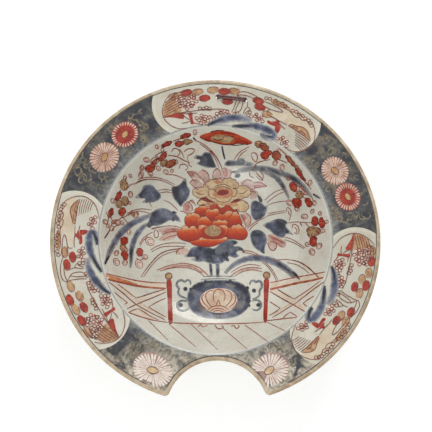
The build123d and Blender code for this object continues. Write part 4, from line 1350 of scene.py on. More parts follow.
gold_blossoms = (
    ((121, 181), (124, 179.5), (127.5, 183), (128, 187), (125, 190.5), (121.5, 189), (120, 185)),
    ((116, 202), (119, 200), (122, 203), (121, 207), (117.5, 208)),
    ((122, 198), (126, 196.5), (128.5, 199.5), (128, 204), (124, 206), (121.5, 202)),
    ((120, 245.5), (123, 244), (126, 246), (125.5, 250), (122, 251)),
    ((182, 143), (184, 140), (189, 139.5), (193, 141.5), (190, 143.5), (185, 144.5)),
    ((254.5, 143), (258, 141), (262, 142.5), (263, 145.5), (259, 148), (256, 146.5)),
    ((306.5, 229), (310, 227), (315, 227.5), (319.5, 228.5), (320, 232), (316, 236), (311, 236.5),
     (307.5, 233)), ((296, 193), (299, 191), (303, 193), (303, 197), (299, 199), (296, 197)),
    ((160, 163), (164, 160), (168, 161), (166, 165), (162, 167)),
    ((293, 165), (296, 165), (299, 168), (302, 173), (299, 171.5), (295, 168)),
    ((131, 213.5), (134, 212), (138, 213), (137, 217.5), (133.5, 217)),
)
blossom_depth = 0.17


def swelled(outlines):
    return [lobed(outline, blossom_depth) for outline in outlines]


print("blossoms filled:", len(red_blossoms + rust_blossoms + gold_blossoms))

# %% Loops and twigs of the plum
# Each loop as its middle and its radius in pixels
blossom_loops = (
    ((130.5, 194.5), 2.6), ((113, 201), 2.2), ((112, 228.5), 2.2), ((117.5, 222.5), 2.6),
    ((105.5, 222), 2.4), ((113.5, 222), 2.0), ((122, 223), 1.8), ((116.5, 253), 2.4), ((116.5, 262), 3.2),
    ((125, 262.5), 2.6), ((145, 257), 2.6), ((139, 264), 3.8), ((150, 241.5), 4.0), ((126, 250), 2.0),
    ((129, 232), 2.2), ((146.5, 160), 2.6), ((142, 168), 2.4), ((141, 175), 2.6), ((150.5, 173.5), 2.4),
    ((158.5, 168.5), 2.2), ((166, 172), 2.2), ((176.5, 162), 1.8), ((125, 178), 1.8), ((130.5, 176), 1.6),
    ((162.5, 150), 1.8), ((157, 147), 1.8), ((275, 163), 2.4), ((282, 167.5), 2.6), ((277, 152), 1.8),
    ((289.5, 203), 2.8), ((297, 209), 2.2), ((314, 203), 2.4), ((312.3, 211.5), 2.0),
    ((304.5, 216.5), 2.8), ((320, 213.5), 1.8), ((326, 222), 2.0), ((322.5, 231), 2.0), ((319, 246), 2.8),
    ((312, 252), 3.0), ((307, 244.5), 2.0), ((288.5, 179), 1.6), ((301, 189), 2.2), ((306, 193.5), 1.8),
    ((318.5, 231.5), 2.4), ((310, 183), 2.2), ((108, 226), 1.6), ((136, 215), 2.6), ((129.5, 203), 1.6),
    ((172, 171), 1.6), ((195, 132.5), 2.2),
)
twig_routes = (
    ((124, 214), (120, 219), (113, 223), (109, 230)), ((111, 217), (113, 222), (118, 225)),
    ((122, 216), (126, 221), (130, 224)), ((143, 178), (140, 172), (144, 167)),
    ((155, 167), (158, 162), (164, 158)), ((155, 156), (160, 153), (167, 151.5)),
    ((150, 164), (152, 159), (158, 156)), ((173, 141.5), (178, 139.5), (184, 138.5)),
    ((140, 246), (143, 241), (148, 236)), ((136, 258), (140, 260), (145, 258)),
    ((122, 218), (127, 215.5), (133, 211)), ((300, 192), (303, 197), (306, 199)),
    ((297, 186), (302, 188.5), (306, 193)), ((311, 196), (313, 200)),
    ((275, 159), (281, 160.5), (287, 163)), ((311, 222.8), (314, 221)), ((307, 234), (310, 238)),
    ((316, 235), (320, 231)), ((305, 222.4), (308, 226), (312, 228)),
    ((278, 148), (283, 152), (288, 157)), ((302, 179), (307, 184), (311, 189.5)),
    ((120, 225), (115, 226.5), (112, 231)), ((106, 212), (108.5, 218), (107, 225)),
    ((121, 190), (118, 193)), ((128, 188), (131, 184.5), (135, 184)),
)
loop_line = 0.62
inner_loop_line = loop_line * 0.7
smallest_double_loop = 2.3


def loop_route(number, shrink=1.0):
    """A slightly drawn-out loop around a pixel, as one brush mark that is turned its own way."""
    place, radius = blossom_loops[number]
    turn = 2.5 * noise.noise(Vector((number * 1.9, 0.3, 7.0))) + 1.2
    size = radius * shrink
    route = turned_oval(place, size * 1.22, size * 0.9, turn, 8)
    return route + route[:1]


def paint_loops():
    blush = Brushwork("plum_loop_blush", "loop_blush", wash_lift)
    for number in range(len(blossom_loops)):
        blush.fill(loop_route(number)[:-1])
    blush.finish()
    painted("red_plum_blossoms", "iron_red", body_lift, swelled(red_blossoms),
            stands_for=("red_plum_flowers",))
    painted("rust_plum_blossoms", "rust_wash", body_lift, swelled(rust_blossoms))
    painted("gold_plum_blossoms", "gold_worn", wash_lift, swelled(gold_blossoms),
            stands_for=("gold_plum_flowers",))
    loops = Brushwork("plum_loops", "loop_rose", detail_lift)
    for number, (place, radius) in enumerate(blossom_loops):
        loops.line(loop_line, loop_route(number))
        if radius > smallest_double_loop:
            loops.line(inner_loop_line, loop_route(number, 0.55)[:7])
        else:
            loops.dot((place[0] + 0.4, place[1] + 0.3), 0.4)
    for route in twig_routes:
        loops.line(loop_line, route)
    loops.finish()


paint_loops()

# %% Outlines of the blossoms
blossom_line = 0.5
crease_start = 0.35


def blossom_strokes(outlines):
    """The swelled edge of every blossom, and short creases from its middle to its corners."""
    strokes = []
    for outline, edge in zip(outlines, swelled(outlines)):
        strokes.append((blossom_line, edge + edge[:1]))
        middle = middle_of(outline)
        for corner in edge[::4]:
            start = [middle[axis] * (1 - crease_start) + corner[axis] * crease_start for axis in (0, 1)]
            strokes.append((blossom_line, (start, corner)))
    return strokes


painted("red_blossom_outlines", "line_red", detail_lift + 0.03,
        strokes=blossom_strokes(red_blossoms + rust_blossoms))
painted("gold_blossom_outlines", "line_brown", detail_lift + 0.03, strokes=blossom_strokes(gold_blossoms))

# %% [markdown]
# The vase on its terrace.
# A swelling blue vase stands in front of the fence. A cream panel with a many-petalled bloom is
# left free in its side. The vase could be a raised form, but it is a painted one. So its blue is
# one cloudy coat that pooled near its edge, with paler tan mottles and a few dark spots, and the
# swelling comes from that alone. The scrolling handles are drawn in grey, with a black-blue knot
# in each curl.

# %% Vase
vase_outline = (
    ((187, 299), (188.5, 291), (194, 284.5), (203, 281), (219, 279.8), (234, 280.8), (243, 284),
     (249, 290.5), (250.8, 299), (248, 308), (240, 315), (229, 318.5), (218, 319.2), (206, 318),
     (196, 314.5), (189.5, 308)),
)
vase_pools = (
    ((193, 288), 4.0, 0.7), ((200, 284), 4.5, 0.9), ((209, 282.5), 4.0, 0.8), ((219, 282), 4.0, 0.7),
    ((229, 282.5), 4.0, 0.9), ((238, 285), 4.5, 0.8), ((246, 290), 4.5, 1.0), ((249, 300), 4.0, 0.9),
    ((247, 308), 4.0, 0.7), ((240, 313), 3.5, 0.5), ((190, 302), 3.5, 0.5), ((194, 311), 4.0, 0.7),
    ((205, 316), 3.5, 0.6), ((218, 316), 4.5, 1.0), ((232, 316), 3.5, 0.5), ((188.5, 295), 3.0, 0.4),
)
vase_mottles = (
    ((236.5, 291.6), (240.6, 290.6), (244.4, 294.6), (245, 301.6), (241.6, 307), (237, 309.6),
     (236.8, 306), (239.4, 300.6), (239, 295.4)),
    ((196.4, 303), (200.6, 304.8), (205, 309.8), (208, 314), (202, 313), (197.4, 309.6)),
    ((204.4, 284.6), (209, 282.8), (213.4, 283.6), (209.4, 286.2), (205.2, 286.8)),
    ((225, 284.4), (231, 283.4), (236, 286.4), (231, 287.6)),
    ((190.4, 293), (193.6, 289), (196, 291.6), (193, 297)),
)
# Each spot as its pixel and its radius in millimetres
vase_spots = (
    ((205.5, 281.8), 1.6), ((230, 281.4), 1.6), ((247.3, 288), 1.6), ((249.3, 301), 1.4), ((249, 305.5), 1.3),
    ((218, 316.3), 1.3), ((190.5, 289), 1.2),
)
painted("vase_side", "cobalt_wash", body_lift, vase_outline, (), vase_pools, ("vase_body",))
painted("vase_mottle", "mottle_tan", accent_lift, vase_mottles)
spots = Brushwork("vase_spots", "cobalt_black", detail_lift)
for pixel, radius in vase_spots:
    spots.dot(pixel, radius)
spots.finish()

# %% Cream panel and its bloom
vase_panel_outline = (
    ((200, 300), (203, 293.5), (210, 289.5), (219, 288.3), (228, 289.3), (234.5, 293.5), (237.5, 300),
     (235, 307), (227.5, 311.8), (219, 312.8), (210.5, 311.8), (203, 307.3)),
)
bloom_petals = (
    ((214.3, 302), (213.2, 296), (214.8, 291), (218.8, 289.2), (223, 290.8), (225.2, 296), (223.6, 302)),
    ((216.4, 305), (218.3, 299.8), (220.2, 305)),
    ((211.4, 306.4), (207, 301), (205.6, 295.5), (208, 291.8), (212.4, 290.4)),
    ((208.5, 307.4), (203.5, 302.5), (201.8, 297.4), (204, 294)),
    ((206, 308.8), (201.8, 305.6), (200, 301.4)),
    ((225.8, 306.4), (230.5, 301), (232, 295.5), (229.6, 291.8), (226, 290.4)),
    ((229, 307.8), (234.2, 303), (235.8, 297.8), (233.4, 294)),
    ((231.5, 309), (235.4, 305.6), (236.8, 301.4)),
    ((208, 309.6), (212, 306.8), (218, 305.8), (224, 306.8), (229, 310)),
    ((210.4, 311), (214, 309), (218, 308.3), (222, 309), (226.4, 311.4)),
    ((213, 312), (215.6, 310.9), (218, 310.6), (220.6, 310.9), (223.4, 312)),
)
bloom_line = 0.85
painted("vase_panel", "vase_cream", detail_lift, vase_panel_outline, stands_for=("vase_medallion",))
painted("vase_bloom", "line_rust", line_lift + 0.03, strokes=strokes_of(bloom_line, bloom_petals))

# %% Vase handles, neck and the tufts on the terrace
handle_routes = (
    ((190.5, 284.5), (190.2, 281.2), (187.4, 280), (184.6, 281.8), (181.8, 280.2), (178, 281.4),
     (176.6, 285), (179, 288.6), (178.2, 292.4), (180.4, 296), (184.5, 297.6), (187.8, 299.6)),
    ((187, 301.2), (182, 300.6), (178, 303), (177.6, 307.4), (181, 310.6), (186, 310.2), (189, 308)),
    ((249.6, 284.6), (250.8, 281.4), (253.6, 280.6), (256, 282.2), (258.8, 280.8), (261.6, 283),
     (261.6, 287.4), (259.4, 291), (259.6, 294.6), (256.6, 297.6), (252.6, 299)),
    ((252, 300.8), (256.6, 300), (260.6, 302.6), (260.8, 307), (257, 310.2), (252.4, 309.4)),
)
handle_knots = ((185.4, 288.9), (180.7, 305.1), (254, 290.6), (258.3, 304.9))
neck_routes = (
    ((203, 276.8), (212, 276.2), (224, 276.2), (233, 276.8)),
    ((201, 279.8), (210, 278.9), (222, 278.6), (236, 279.8)),
)
tuft_routes = (
    ((198, 327), (200.5, 324.6), (202.6, 326.8), (207.6, 325.4)),
    ((214.6, 324.9), (217, 327.8), (220, 329), (223.6, 326.8), (221, 325.6)),
    ((231, 326.4), (234, 325.7), (236.6, 328.6), (239.4, 326.2), (238, 324.8)),
)
handle_widths = (1.3, 2.0, 2.1, 1.9, 1.3)
knot_radius = 1.9
tuft_line = 0.9
neck_line = 0.65
painted("vase_scrolls", "scroll_grey", body_lift, strokes=strokes_of(handle_widths, handle_routes),
        stands_for=("vase_handles",))
knots = Brushwork("handle_knots", "cobalt_black", accent_lift)
for pixel in handle_knots:
    knots.dot(pixel, knot_radius)
knots.finish()
painted("terrace_tufts", "line_rust", accent_lift, strokes=strokes_of(tuft_line, tuft_routes))
painted("vase_neck", "line_grey", accent_lift, strokes=strokes_of(neck_line, neck_routes))

# %% [markdown]
# The terrace fence.
# On both sides of the vase runs a low fence of crossed canes between red posts. The top rail has a
# wash of orange and pink under it, and the floor boards run away from the viewer below. Canes could
# be round bars, but they are drawn things: each is a stroke over a pale wash.

# %% Rails and washes of the fence
rail_fills = (
    ((105.5, 274.5), (120, 277.3), (140, 281), (166, 283.3), (166, 287.6), (145, 286), (125, 283),
     (107.5, 280)),
    ((323.5, 272), (305, 275.3), (285, 279.3), (270, 283.2), (270, 288.6), (286, 285.4), (303, 282.4),
     (321.5, 279)),
)
cane_washes = (
    ((112, 283.6), (119, 285.4), (137, 299.4), (150, 308.4), (164, 317.6), (163, 319), (150, 312),
     (136, 303.6), (122, 291.8)),
    ((128.4, 307.6), (140, 302.4), (165, 291.6), (164.6, 289.6), (137.6, 298.6), (127.4, 304.6)),
    ((322.4, 282.4), (319.8, 281.8), (294.6, 299.8), (280, 309.4), (271.4, 315.6), (272.8, 317),
     (283, 310.6), (296, 302.4), (309.4, 292.2)),
    ((271, 291.4), (277, 290), (293.4, 299.8), (302, 305.4), (304, 310.8), (292.8, 304)),
    ((129.6, 312.2), (138.4, 309.2), (150.4, 316.2), (157, 320), (142, 316.4)),
)
orange_rail = (
    ((105.5, 274.8), (112, 276), (120, 278.2), (130, 281.4), (138, 284.6), (128, 283.4), (118, 281.8),
     (108, 279.6)),
)
thick_rails = (
    ((108, 279.4), (121, 282.4), (134.7, 285.4), (150, 287.4), (165.8, 288.5)),
    ((270.2, 289.3), (293.6, 283.9), (310, 280.8), (323, 277.6)),
)
rail_stroke = 2.0
washes = Brushwork("fence_rail_wash", "rail_wash", wash_lift)
for outline in rail_fills:
    washes.fill(outline)
for number, outline in enumerate(cane_washes):
    washes.fill(outline, wash_lift - 0.02 * (number % 2 + 1))
washes.finish()
painted("fence_rail_orange", "rail_orange", body_lift, orange_rail)
painted("fence_rails_drawn", "rust_wash", accent_lift, strokes=strokes_of(rail_stroke, thick_rails),
        stands_for=("fence_rails",))

# %% Canes of the fence
rail_lines = (
    ((106.3, 273.6), (122, 277.4), (138, 280.8), (152, 282.4), (165.8, 283)),
    ((324.7, 272), (308, 275.2), (291, 278.2), (270.2, 282.7)),
)
red_canes = (
    ((118, 284.2), (127, 291), (136.3, 298)), ((114.7, 292.4), (121, 297.6), (127.6, 302.6)),
    ((127.6, 302.6), (124.6, 304.4)), ((165.8, 298), (157, 302), (148.6, 306.9)),
    ((148.6, 306.9), (157, 312), (165.8, 317)), ((128.6, 312.4), (133.6, 310), (138.6, 308.6)),
    ((138.6, 308.6), (144, 311.8), (151, 316.2), (159, 320)),
    ((294.1, 299.1), (307, 290.6), (320.2, 281)), ((296, 302.9), (284, 310.4), (272.4, 317.7)),
    ((269.7, 301.6), (275, 305), (280.2, 308.2)), ((280.2, 308.2), (275, 312), (269.1, 315.4)),
    ((313.6, 296), (308, 299.6), (303, 303.2)), ((303, 303.2), (306.9, 306.6)),
    ((282.4, 318.8), (286, 315), (290.2, 312.1)), ((290.2, 312.1), (293.6, 314.2), (296.9, 316.6)),
)
dark_canes = (
    ((109, 282), (122, 292.3), (135.8, 304), (150, 312.4), (164.7, 319.7)),
    ((127.4, 308.6), (146, 300.4), (165.8, 291.9)), ((136.3, 298), (150, 293.6), (164.7, 289.1)),
    ((270.2, 291.6), (281, 298), (292.4, 304.3), (304.7, 311.6)),
    ((323.6, 282), (310, 292), (296, 302.9)), ((277.4, 289.3), (285, 294), (294.1, 299.1)),
)
rail_line = 1.0
red_cane_line = 0.8
dark_cane_line = 0.85
painted("fence_canes", "line_rust", detail_lift,
        strokes=strokes_of(rail_line, rail_lines) + strokes_of(red_cane_line, red_canes),
        stands_for=("fence_braces",))
painted("dark_canes", "line_brown", detail_lift + 0.03, strokes=strokes_of(dark_cane_line, dark_canes))

# %% Terrace and posts
base_lines = (
    ((128.6, 312.4), (141.3, 316.9), (153.6, 320.2), (169, 322.4)),
    ((264.7, 321), (282.4, 318.8), (296.5, 317.5)),
    ((170, 322.5), (200, 323.6), (235, 323.6), (264, 322)),
)
board_lines = (
    ((169, 324), (182, 335), (196, 347)), ((191, 324), (204, 336.5), (218, 350)),
    ((223, 328), (235, 338.5), (247, 349)), ((245, 325), (256, 333), (268, 342)),
    ((267, 322), (276, 326.5), (285, 331)), ((148, 320), (158, 330), (168, 340)),
)
post_fills = (
    ((166.6, 281), (171.4, 281), (172, 300), (172.5, 322), (168.6, 322), (167.6, 300)),
    ((264, 280), (269, 280), (268, 300), (267, 321), (263.6, 321), (263.8, 300)),
)
finial_places = ((168.7, 276.2), (266.6, 275.2))
base_line = 1.0
board_line = 0.62
finial_radius = 2.8
finial_ring_radius = 2.9
finial_ring_steps = 15
finial_ring_line = (0.8, 0.8)
painted("terrace_edge", "line_rust", detail_lift,
        strokes=strokes_of(base_line, base_lines) + strokes_of(board_line, board_lines),
        stands_for=("terrace_line",))
painted("fence_posts_painted", "tree_red", accent_lift, post_fills, stands_for=("fence_posts",))
knobs = Brushwork("fence_finials", "gold_worn", accent_lift)
rings = Brushwork("finial_rings", "line_brown", line_lift)
for pixel in finial_places:
    knobs.dot(pixel, finial_radius)
    ring = turned_oval(spot(pixel), finial_ring_radius, finial_ring_radius, 0.0, finial_ring_steps)
    rings.strip_places(ring + ring[:1], finial_ring_line)
knobs.finish()
rings.finish()

# %% [markdown]
# Chrysanthemums on the rim.
# Six round blooms stand in the cobalt ground. A bloom is a red or red-brown disc, and its narrow
# petals are laid on it in cream, long ones that reach the heart on the pale blooms and short ones
# that only fringe the red blooms. The two lower blooms have thinner petals, and their petals, discs
# and hearts are painted paler and whiter: painted glare of the light on the lower rim. Every petal
# could be placed by hand, but they stand evenly round the heart.
# So one function strokes them all from a few sizes, and noise makes each a little uneven.

# %% Places on the rim
rim_width = rim_outer - rim_inner
notch_radius = 41.8
notch_strip_width = 5.4
notch_centre = (0.0, -(well_mouth_radius + notch_strip_width + notch_radius))
lip_clearance = 0.5


def around_axis(radius, angle):
    return (radius * math.cos(angle), radius * math.sin(angle))


def on_ground(place):
    """True where a place on the rim lies inside the lip and clear of the notch."""
    clear_of_notch = math.dist(place, notch_centre) > notch_radius + lip_width + lip_clearance
    return clear_of_notch and rim_inner + lip_clearance < math.hypot(*place) < rim_outer - lip_clearance


print("the rim is", round(rim_width, 1), "mm wide between its lines")

# %% Chrysanthemum petals
# Angle, share from the well edge to the lip, half size across and along the rim, petals, where they begin
red_blooms = ((130.9, 0.52, 0.29, 0.33, 27, 0.70), (16.7, 0.50, 0.29, 0.33, 28, 0.62))
pale_blooms = ((143.9, 0.49, 0.32, 0.36, 28, 0.30), (29.0, 0.49, 0.30, 0.34, 28, 0.30))
# The two lower blooms: their petals, discs and hearts are painted paler, as painted glare on the lower rim
glare_paled_blooms = ((244.8, 0.65, 0.345, 0.45, 32, 0.26), (-69.2, 0.565, 0.345, 0.43, 31, 0.24))
all_blooms = red_blooms + pale_blooms + glare_paled_blooms
# A petal's widths from its foot to its tip, as shares of the bloom's half size
pale_petal = (0.035, 0.066, 0.10, 0.145, 0.10)
lower_bloom_petal = (0.03, 0.055, 0.085, 0.12, 0.08)
fringe_petal = (0.03, 0.085, 0.12, 0.09)


def bloom_place(bloom, turn=0.0, share=0.0):
    """A place in a bloom, by its turn around the heart and its share of the way to the petal tips."""
    angle = math.radians(bloom[0])
    radius = rim_inner + bloom[1] * rim_width
    across = bloom[2] * rim_width * share * math.cos(turn)
    along = bloom[3] * rim_width * share * math.sin(turn)
    return (radius * math.cos(angle) + across * math.cos(angle) - along * math.sin(angle),
            radius * math.sin(angle) + across * math.sin(angle) + along * math.cos(angle))


def lay_petals(name, paint_name, blooms, tip_share, petal):
    """One stroke for each petal, from near the heart outwards, each a little uneven."""
    piece = Brushwork(name, paint_name, wash_lift)
    for bloom in blooms:
        count, start = bloom[4], bloom[5]
        widths = [bloom[3] * rim_width * share for share in petal]
        for number in range(count):
            turn = math.tau * (number + 0.18 * noise.noise(Vector((number * 1.7, bloom[0], 0.5)))) / count
            reach = tip_share + 0.03 * noise.noise(Vector((number * 2.3, bloom[0], 4.0)))
            shares = [start + (reach - start) * step / 3 for step in range(4)]
            route = [bloom_place(bloom, turn, share) for share in shares]
            route = [place for place in route if on_ground(place)]
            if len(route) > 2:
                piece.strip_places(route, widths)
    piece.finish()


lay_petals("pale_bloom_petals", "bloom_pink", pale_blooms, 1.02, pale_petal)
# Whiter petals on the lower blooms: painted glare of the light on the lower rim
lay_petals("glare_paled_bloom_petals", "bloom_white", glare_paled_blooms, 1.02, lower_bloom_petal)

# %% Hearts of the chrysanthemums
bed_share = 0.4
heart_share = (0.19, 0.27)
ring_share = (0.21, 0.29)
heart_turn = 0.25
ring_line = (0.45, 0.45)


def heart_sizes(bloom, shares):
    """Half sizes across and along the rim, in millimetres."""
    return (bloom[2] * rim_width * shares[0], bloom[3] * rim_width * shares[1])


beds = Brushwork("bloom_heart_beds", "tree_red", wash_lift * 0.5)
for bloom in red_blooms:
    beds.dot_places(bloom_place(bloom), *heart_sizes(bloom, (bed_share, bed_share)))
beds.finish()
lay_petals("red_bloom_fringe", "bloom_pink", red_blooms, 0.98, fringe_petal)

hearts = Brushwork("bloom_hearts", "heart_tan", body_lift)
# Paler hearts on the lower blooms: painted glare of the light on the lower rim
faint = Brushwork("glare_paled_bloom_hearts", "petal_gold", body_lift)
rings = Brushwork("bloom_heart_rings", "line_brown", detail_lift)
for bloom in all_blooms:
    piece = faint if bloom in glare_paled_blooms else hearts
    turn = math.radians(bloom[0]) + heart_turn
    piece.dot_places(bloom_place(bloom), *heart_sizes(bloom, heart_share), turn)
    ring = turned_oval(bloom_place(bloom), *heart_sizes(bloom, ring_share), turn, 16)
    rings.strip_places(ring + ring[:1], ring_line)
hearts.finish("chrysanthemum_hearts")
faint.finish()
rings.finish()

# %% [markdown]
# The line inside the lip and the worn scrolls.
# A thin dark line runs round the rim just inside the bare lip, and the cobalt ground once carried
# curling stems in gold. Most of the gold has gone, and the curls show as dull olive traces, too
# faint to follow one by one. So each curl is one short spiral stroke, and a seeded random choice
# spreads them and turns each its own way. A curl that would meet a panel or a bloom is cut short.

# %% Lip line
line_inset = 0.75
lip_line_radius = rim_outer - line_inset
notch_line_radius = notch_radius + lip_width + line_inset
lip_line_widths = (0.7, 0.8, 0.7)
notch_line_widths = (0.8, 0.8)
lip_steps = 240
arc_steps = 80


def paint_lip_line():
    line = Brushwork("lip_line", "ground_line", wash_lift)
    route = []
    for step in range(lip_steps + 1):
        place = around_axis(lip_line_radius, math.radians(-65.0 + 310.0 * step / lip_steps))
        if on_ground((place[0] * 0.995, place[1] * 0.995)):
            route.append(place)
    line.strip_places(route, lip_line_widths)
    route = []
    for step in range(arc_steps + 1):
        x, y = around_axis(notch_line_radius, math.radians(30.0 + 120.0 * step / arc_steps))
        place = (notch_centre[0] + x, notch_centre[1] + y)
        if rim_inner + 0.4 < math.hypot(*place) < rim_outer - 0.7:
            route.append(place)
        elif route and abs(place[0]) < 20:
            line.strip_places(route, notch_line_widths)
            route = []
    line.strip_places(route, notch_line_widths)
    line.finish()


paint_lip_line()

# %% Worn scrolls
# Angles of each panel's start and end
panel_angles = {"left": (227.5, 161.0), "top": (116.4, 44.2), "right": (3.5, -56.0)}
scroll_count = 92
scroll_choice = random.Random(7)
scroll_widths = (0.6, 1.1, 1.3, 0.6)
scroll_points = 12
scroll_turn = 4.6


def in_panel(angle, margin):
    """True where an angle on the rim lies in a panel, or less than the margin beside one."""
    for start, end in panel_angles.values():
        for whole_turn in (0.0, 360.0):
            if end + whole_turn - margin < angle < start + whole_turn + margin:
                return True
    return False


def free_for_scroll(place):
    """True where a place is on the cobalt ground and clear of the blooms."""
    for bloom in all_blooms:
        if math.dist(place, bloom_place(bloom)) < bloom[3] * rim_width + 1.5:
            return False
    return on_ground(place) and not in_panel(math.degrees(math.atan2(place[1], place[0])) % 360, 2.5)


def paint_worn_scrolls():
    scrolls = Brushwork("worn_scrolls", "scroll_olive", wash_lift * 0.6)
    drawn = 0
    while drawn < scroll_count:
        angle = scroll_choice.uniform(-68.0, 248.0)
        radius = scroll_choice.uniform(rim_inner + 4.0, rim_outer - 4.0)
        turn = scroll_choice.uniform(0.0, math.tau)
        hand = scroll_choice.choice((-1, 1))
        size = scroll_choice.uniform(2.2, 4.2)
        if in_panel(angle, 3.5):
            continue
        centre = around_axis(radius, math.radians(angle))
        route = []
        for step in range(scroll_points):
            way = step / (scroll_points - 1)
            x, y = around_axis(size * (0.25 + way), turn + hand * scroll_turn * way)
            place = (centre[0] + x, centre[1] + y)
            if free_for_scroll(place):
                route.append(place)
        if len(route) > 5 and all(math.dist(a, b) < size * 1.2 for a, b in zip(route, route[1:])):
            scrolls.strip_places(route, scroll_widths)
            drawn += 1
    scrolls.finish()


paint_worn_scrolls()

# %% [markdown]
# The landscapes in the three panels.
# All three panels hold one landscape, bent around the rim: a thatched house with red walls, plum
# trees, rocks, a small pavilion and gold clouds. A panel's own measure runs along the rim from its
# start to its end, and from the well's edge out to the lip, both from 0 to 1. So each shape is
# drawn once in that measure, and the function lays it into every panel, with its own trees.

# %% Measure of the panels
panel_low = rim_inner
panel_high = 137.0
# How far the landscape is moved along each panel and outwards
panel_shifts = {"left": (0.0, 0.0), "top": (0.035, -0.06), "right": (0.03, 0.0)}


def panel_place(panel, place, shifted=True):
    """A place in millimetres from one in the panel's own measure."""
    start, end = panel_angles[panel]
    shift_along, shift_out = panel_shifts[panel]
    along, out = place
    if not shifted:
        along, out = along - shift_along, out - shift_out
    angle = math.radians(start + (end - start) * (along + shift_along))
    out = min(max(out + shift_out, -0.02), 0.92)
    return around_axis(panel_low + (panel_high - panel_low) * out, angle)


print("a panel's middle:", [round(value, 1) for value in panel_place("top", (0.5, 0.5))])

# %% Trees of each panel
# Red trees and gold trees, by their own places
panel_trees = {
    "left": (((0.225, 0.83), (0.355, 0.85), (0.285, 0.65), (0.55, 0.7), (0.59, 0.555)),
             ((0.295, 0.82), (0.355, 0.63), (0.425, 0.73), (0.155, 0.86), (0.625, 0.71))),
    "top": (((0.215, 0.775), (0.31, 0.6), (0.42, 0.755), (0.44, 0.53), (0.61, 0.68), (0.63, 0.55)),
            ((0.275, 0.755), (0.36, 0.78), (0.47, 0.78), (0.685, 0.45), (0.15, 0.76))),
    "right": (((0.225, 0.85), (0.38, 0.84), (0.41, 0.62), (0.57, 0.76), (0.665, 0.59)),
              ((0.3, 0.83), (0.35, 0.72), (0.44, 0.76), (0.62, 0.62), (0.64, 0.77), (0.16, 0.84))),
}
print("trees:", sum(len(reds + golds) for reds, golds in panel_trees.values()))

# %% House, pavilion, banks and frame of the landscape
thatch = (
    (0.016, 0.44), (0.016, 0.52), (0.03, 0.62), (0.05, 0.72), (0.08, 0.79), (0.11, 0.76), (0.115, 0.66),
    (0.125, 0.55), (0.13, 0.46), (0.1, 0.42), (0.06, 0.43),
)
red_wall = (
    (0.02, 0.425), (0.06, 0.425), (0.12, 0.405), (0.135, 0.38), (0.13, 0.27), (0.11, 0.285),
    (0.085, 0.33), (0.05, 0.39),
)
red_post = (
    (0.163, 0.37), (0.19, 0.37), (0.187, 0.27), (0.186, 0.18), (0.19, 0.11), (0.167, 0.11), (0.168, 0.2),
    (0.166, 0.28),
)
pavilion = (
    ((0.69, 0.415), (0.708, 0.44), (0.714, 0.49), (0.728, 0.495), (0.735, 0.45), (0.752, 0.43),
     (0.748, 0.405), (0.7, 0.4)),
    ((0.664, 0.39), (0.7, 0.395), (0.756, 0.39), (0.758, 0.35), (0.72, 0.335), (0.672, 0.33)),
    ((0.726, 0.34), (0.756, 0.36), (0.757, 0.22), (0.738, 0.23), (0.728, 0.28)),
)
gold_cloud = (
    (0.79, 0.5), (0.797, 0.55), (0.815, 0.575), (0.835, 0.6), (0.855, 0.645), (0.885, 0.65), (0.915, 0.6),
    (0.938, 0.54), (0.93, 0.505), (0.88, 0.515), (0.83, 0.505),
)
far_bank = (
    (0.635, 0.84), (0.65, 0.895), (0.69, 0.9), (0.735, 0.885), (0.745, 0.83), (0.71, 0.8), (0.66, 0.815),
)
bank_wash = (
    (0.655, 0.55), (0.7, 0.66), (0.745, 0.72), (0.7, 0.78), (0.61, 0.81), (0.66, 0.895), (0.74, 0.9),
    (0.82, 0.895), (0.88, 0.86), (0.925, 0.76), (0.948, 0.64), (0.945, 0.56), (0.9, 0.63), (0.86, 0.64),
    (0.81, 0.56), (0.76, 0.515), (0.7, 0.52),
)
inner_frame_start = (
    (0.13, 0.0), (0.08, 0.08), (0.045, 0.17), (0.022, 0.3), (0.013, 0.43), (0.018, 0.56), (0.035, 0.68),
    (0.06, 0.79), (0.09, 0.885),
)
inner_frame_end = (
    (0.85, 0.005), (0.9, 0.07), (0.94, 0.16), (0.963, 0.28), (0.973, 0.42), (0.966, 0.55), (0.95, 0.66),
    (0.925, 0.77), (0.885, 0.88),
)
print("points of the frame lines:", len(inner_frame_start + inner_frame_end))

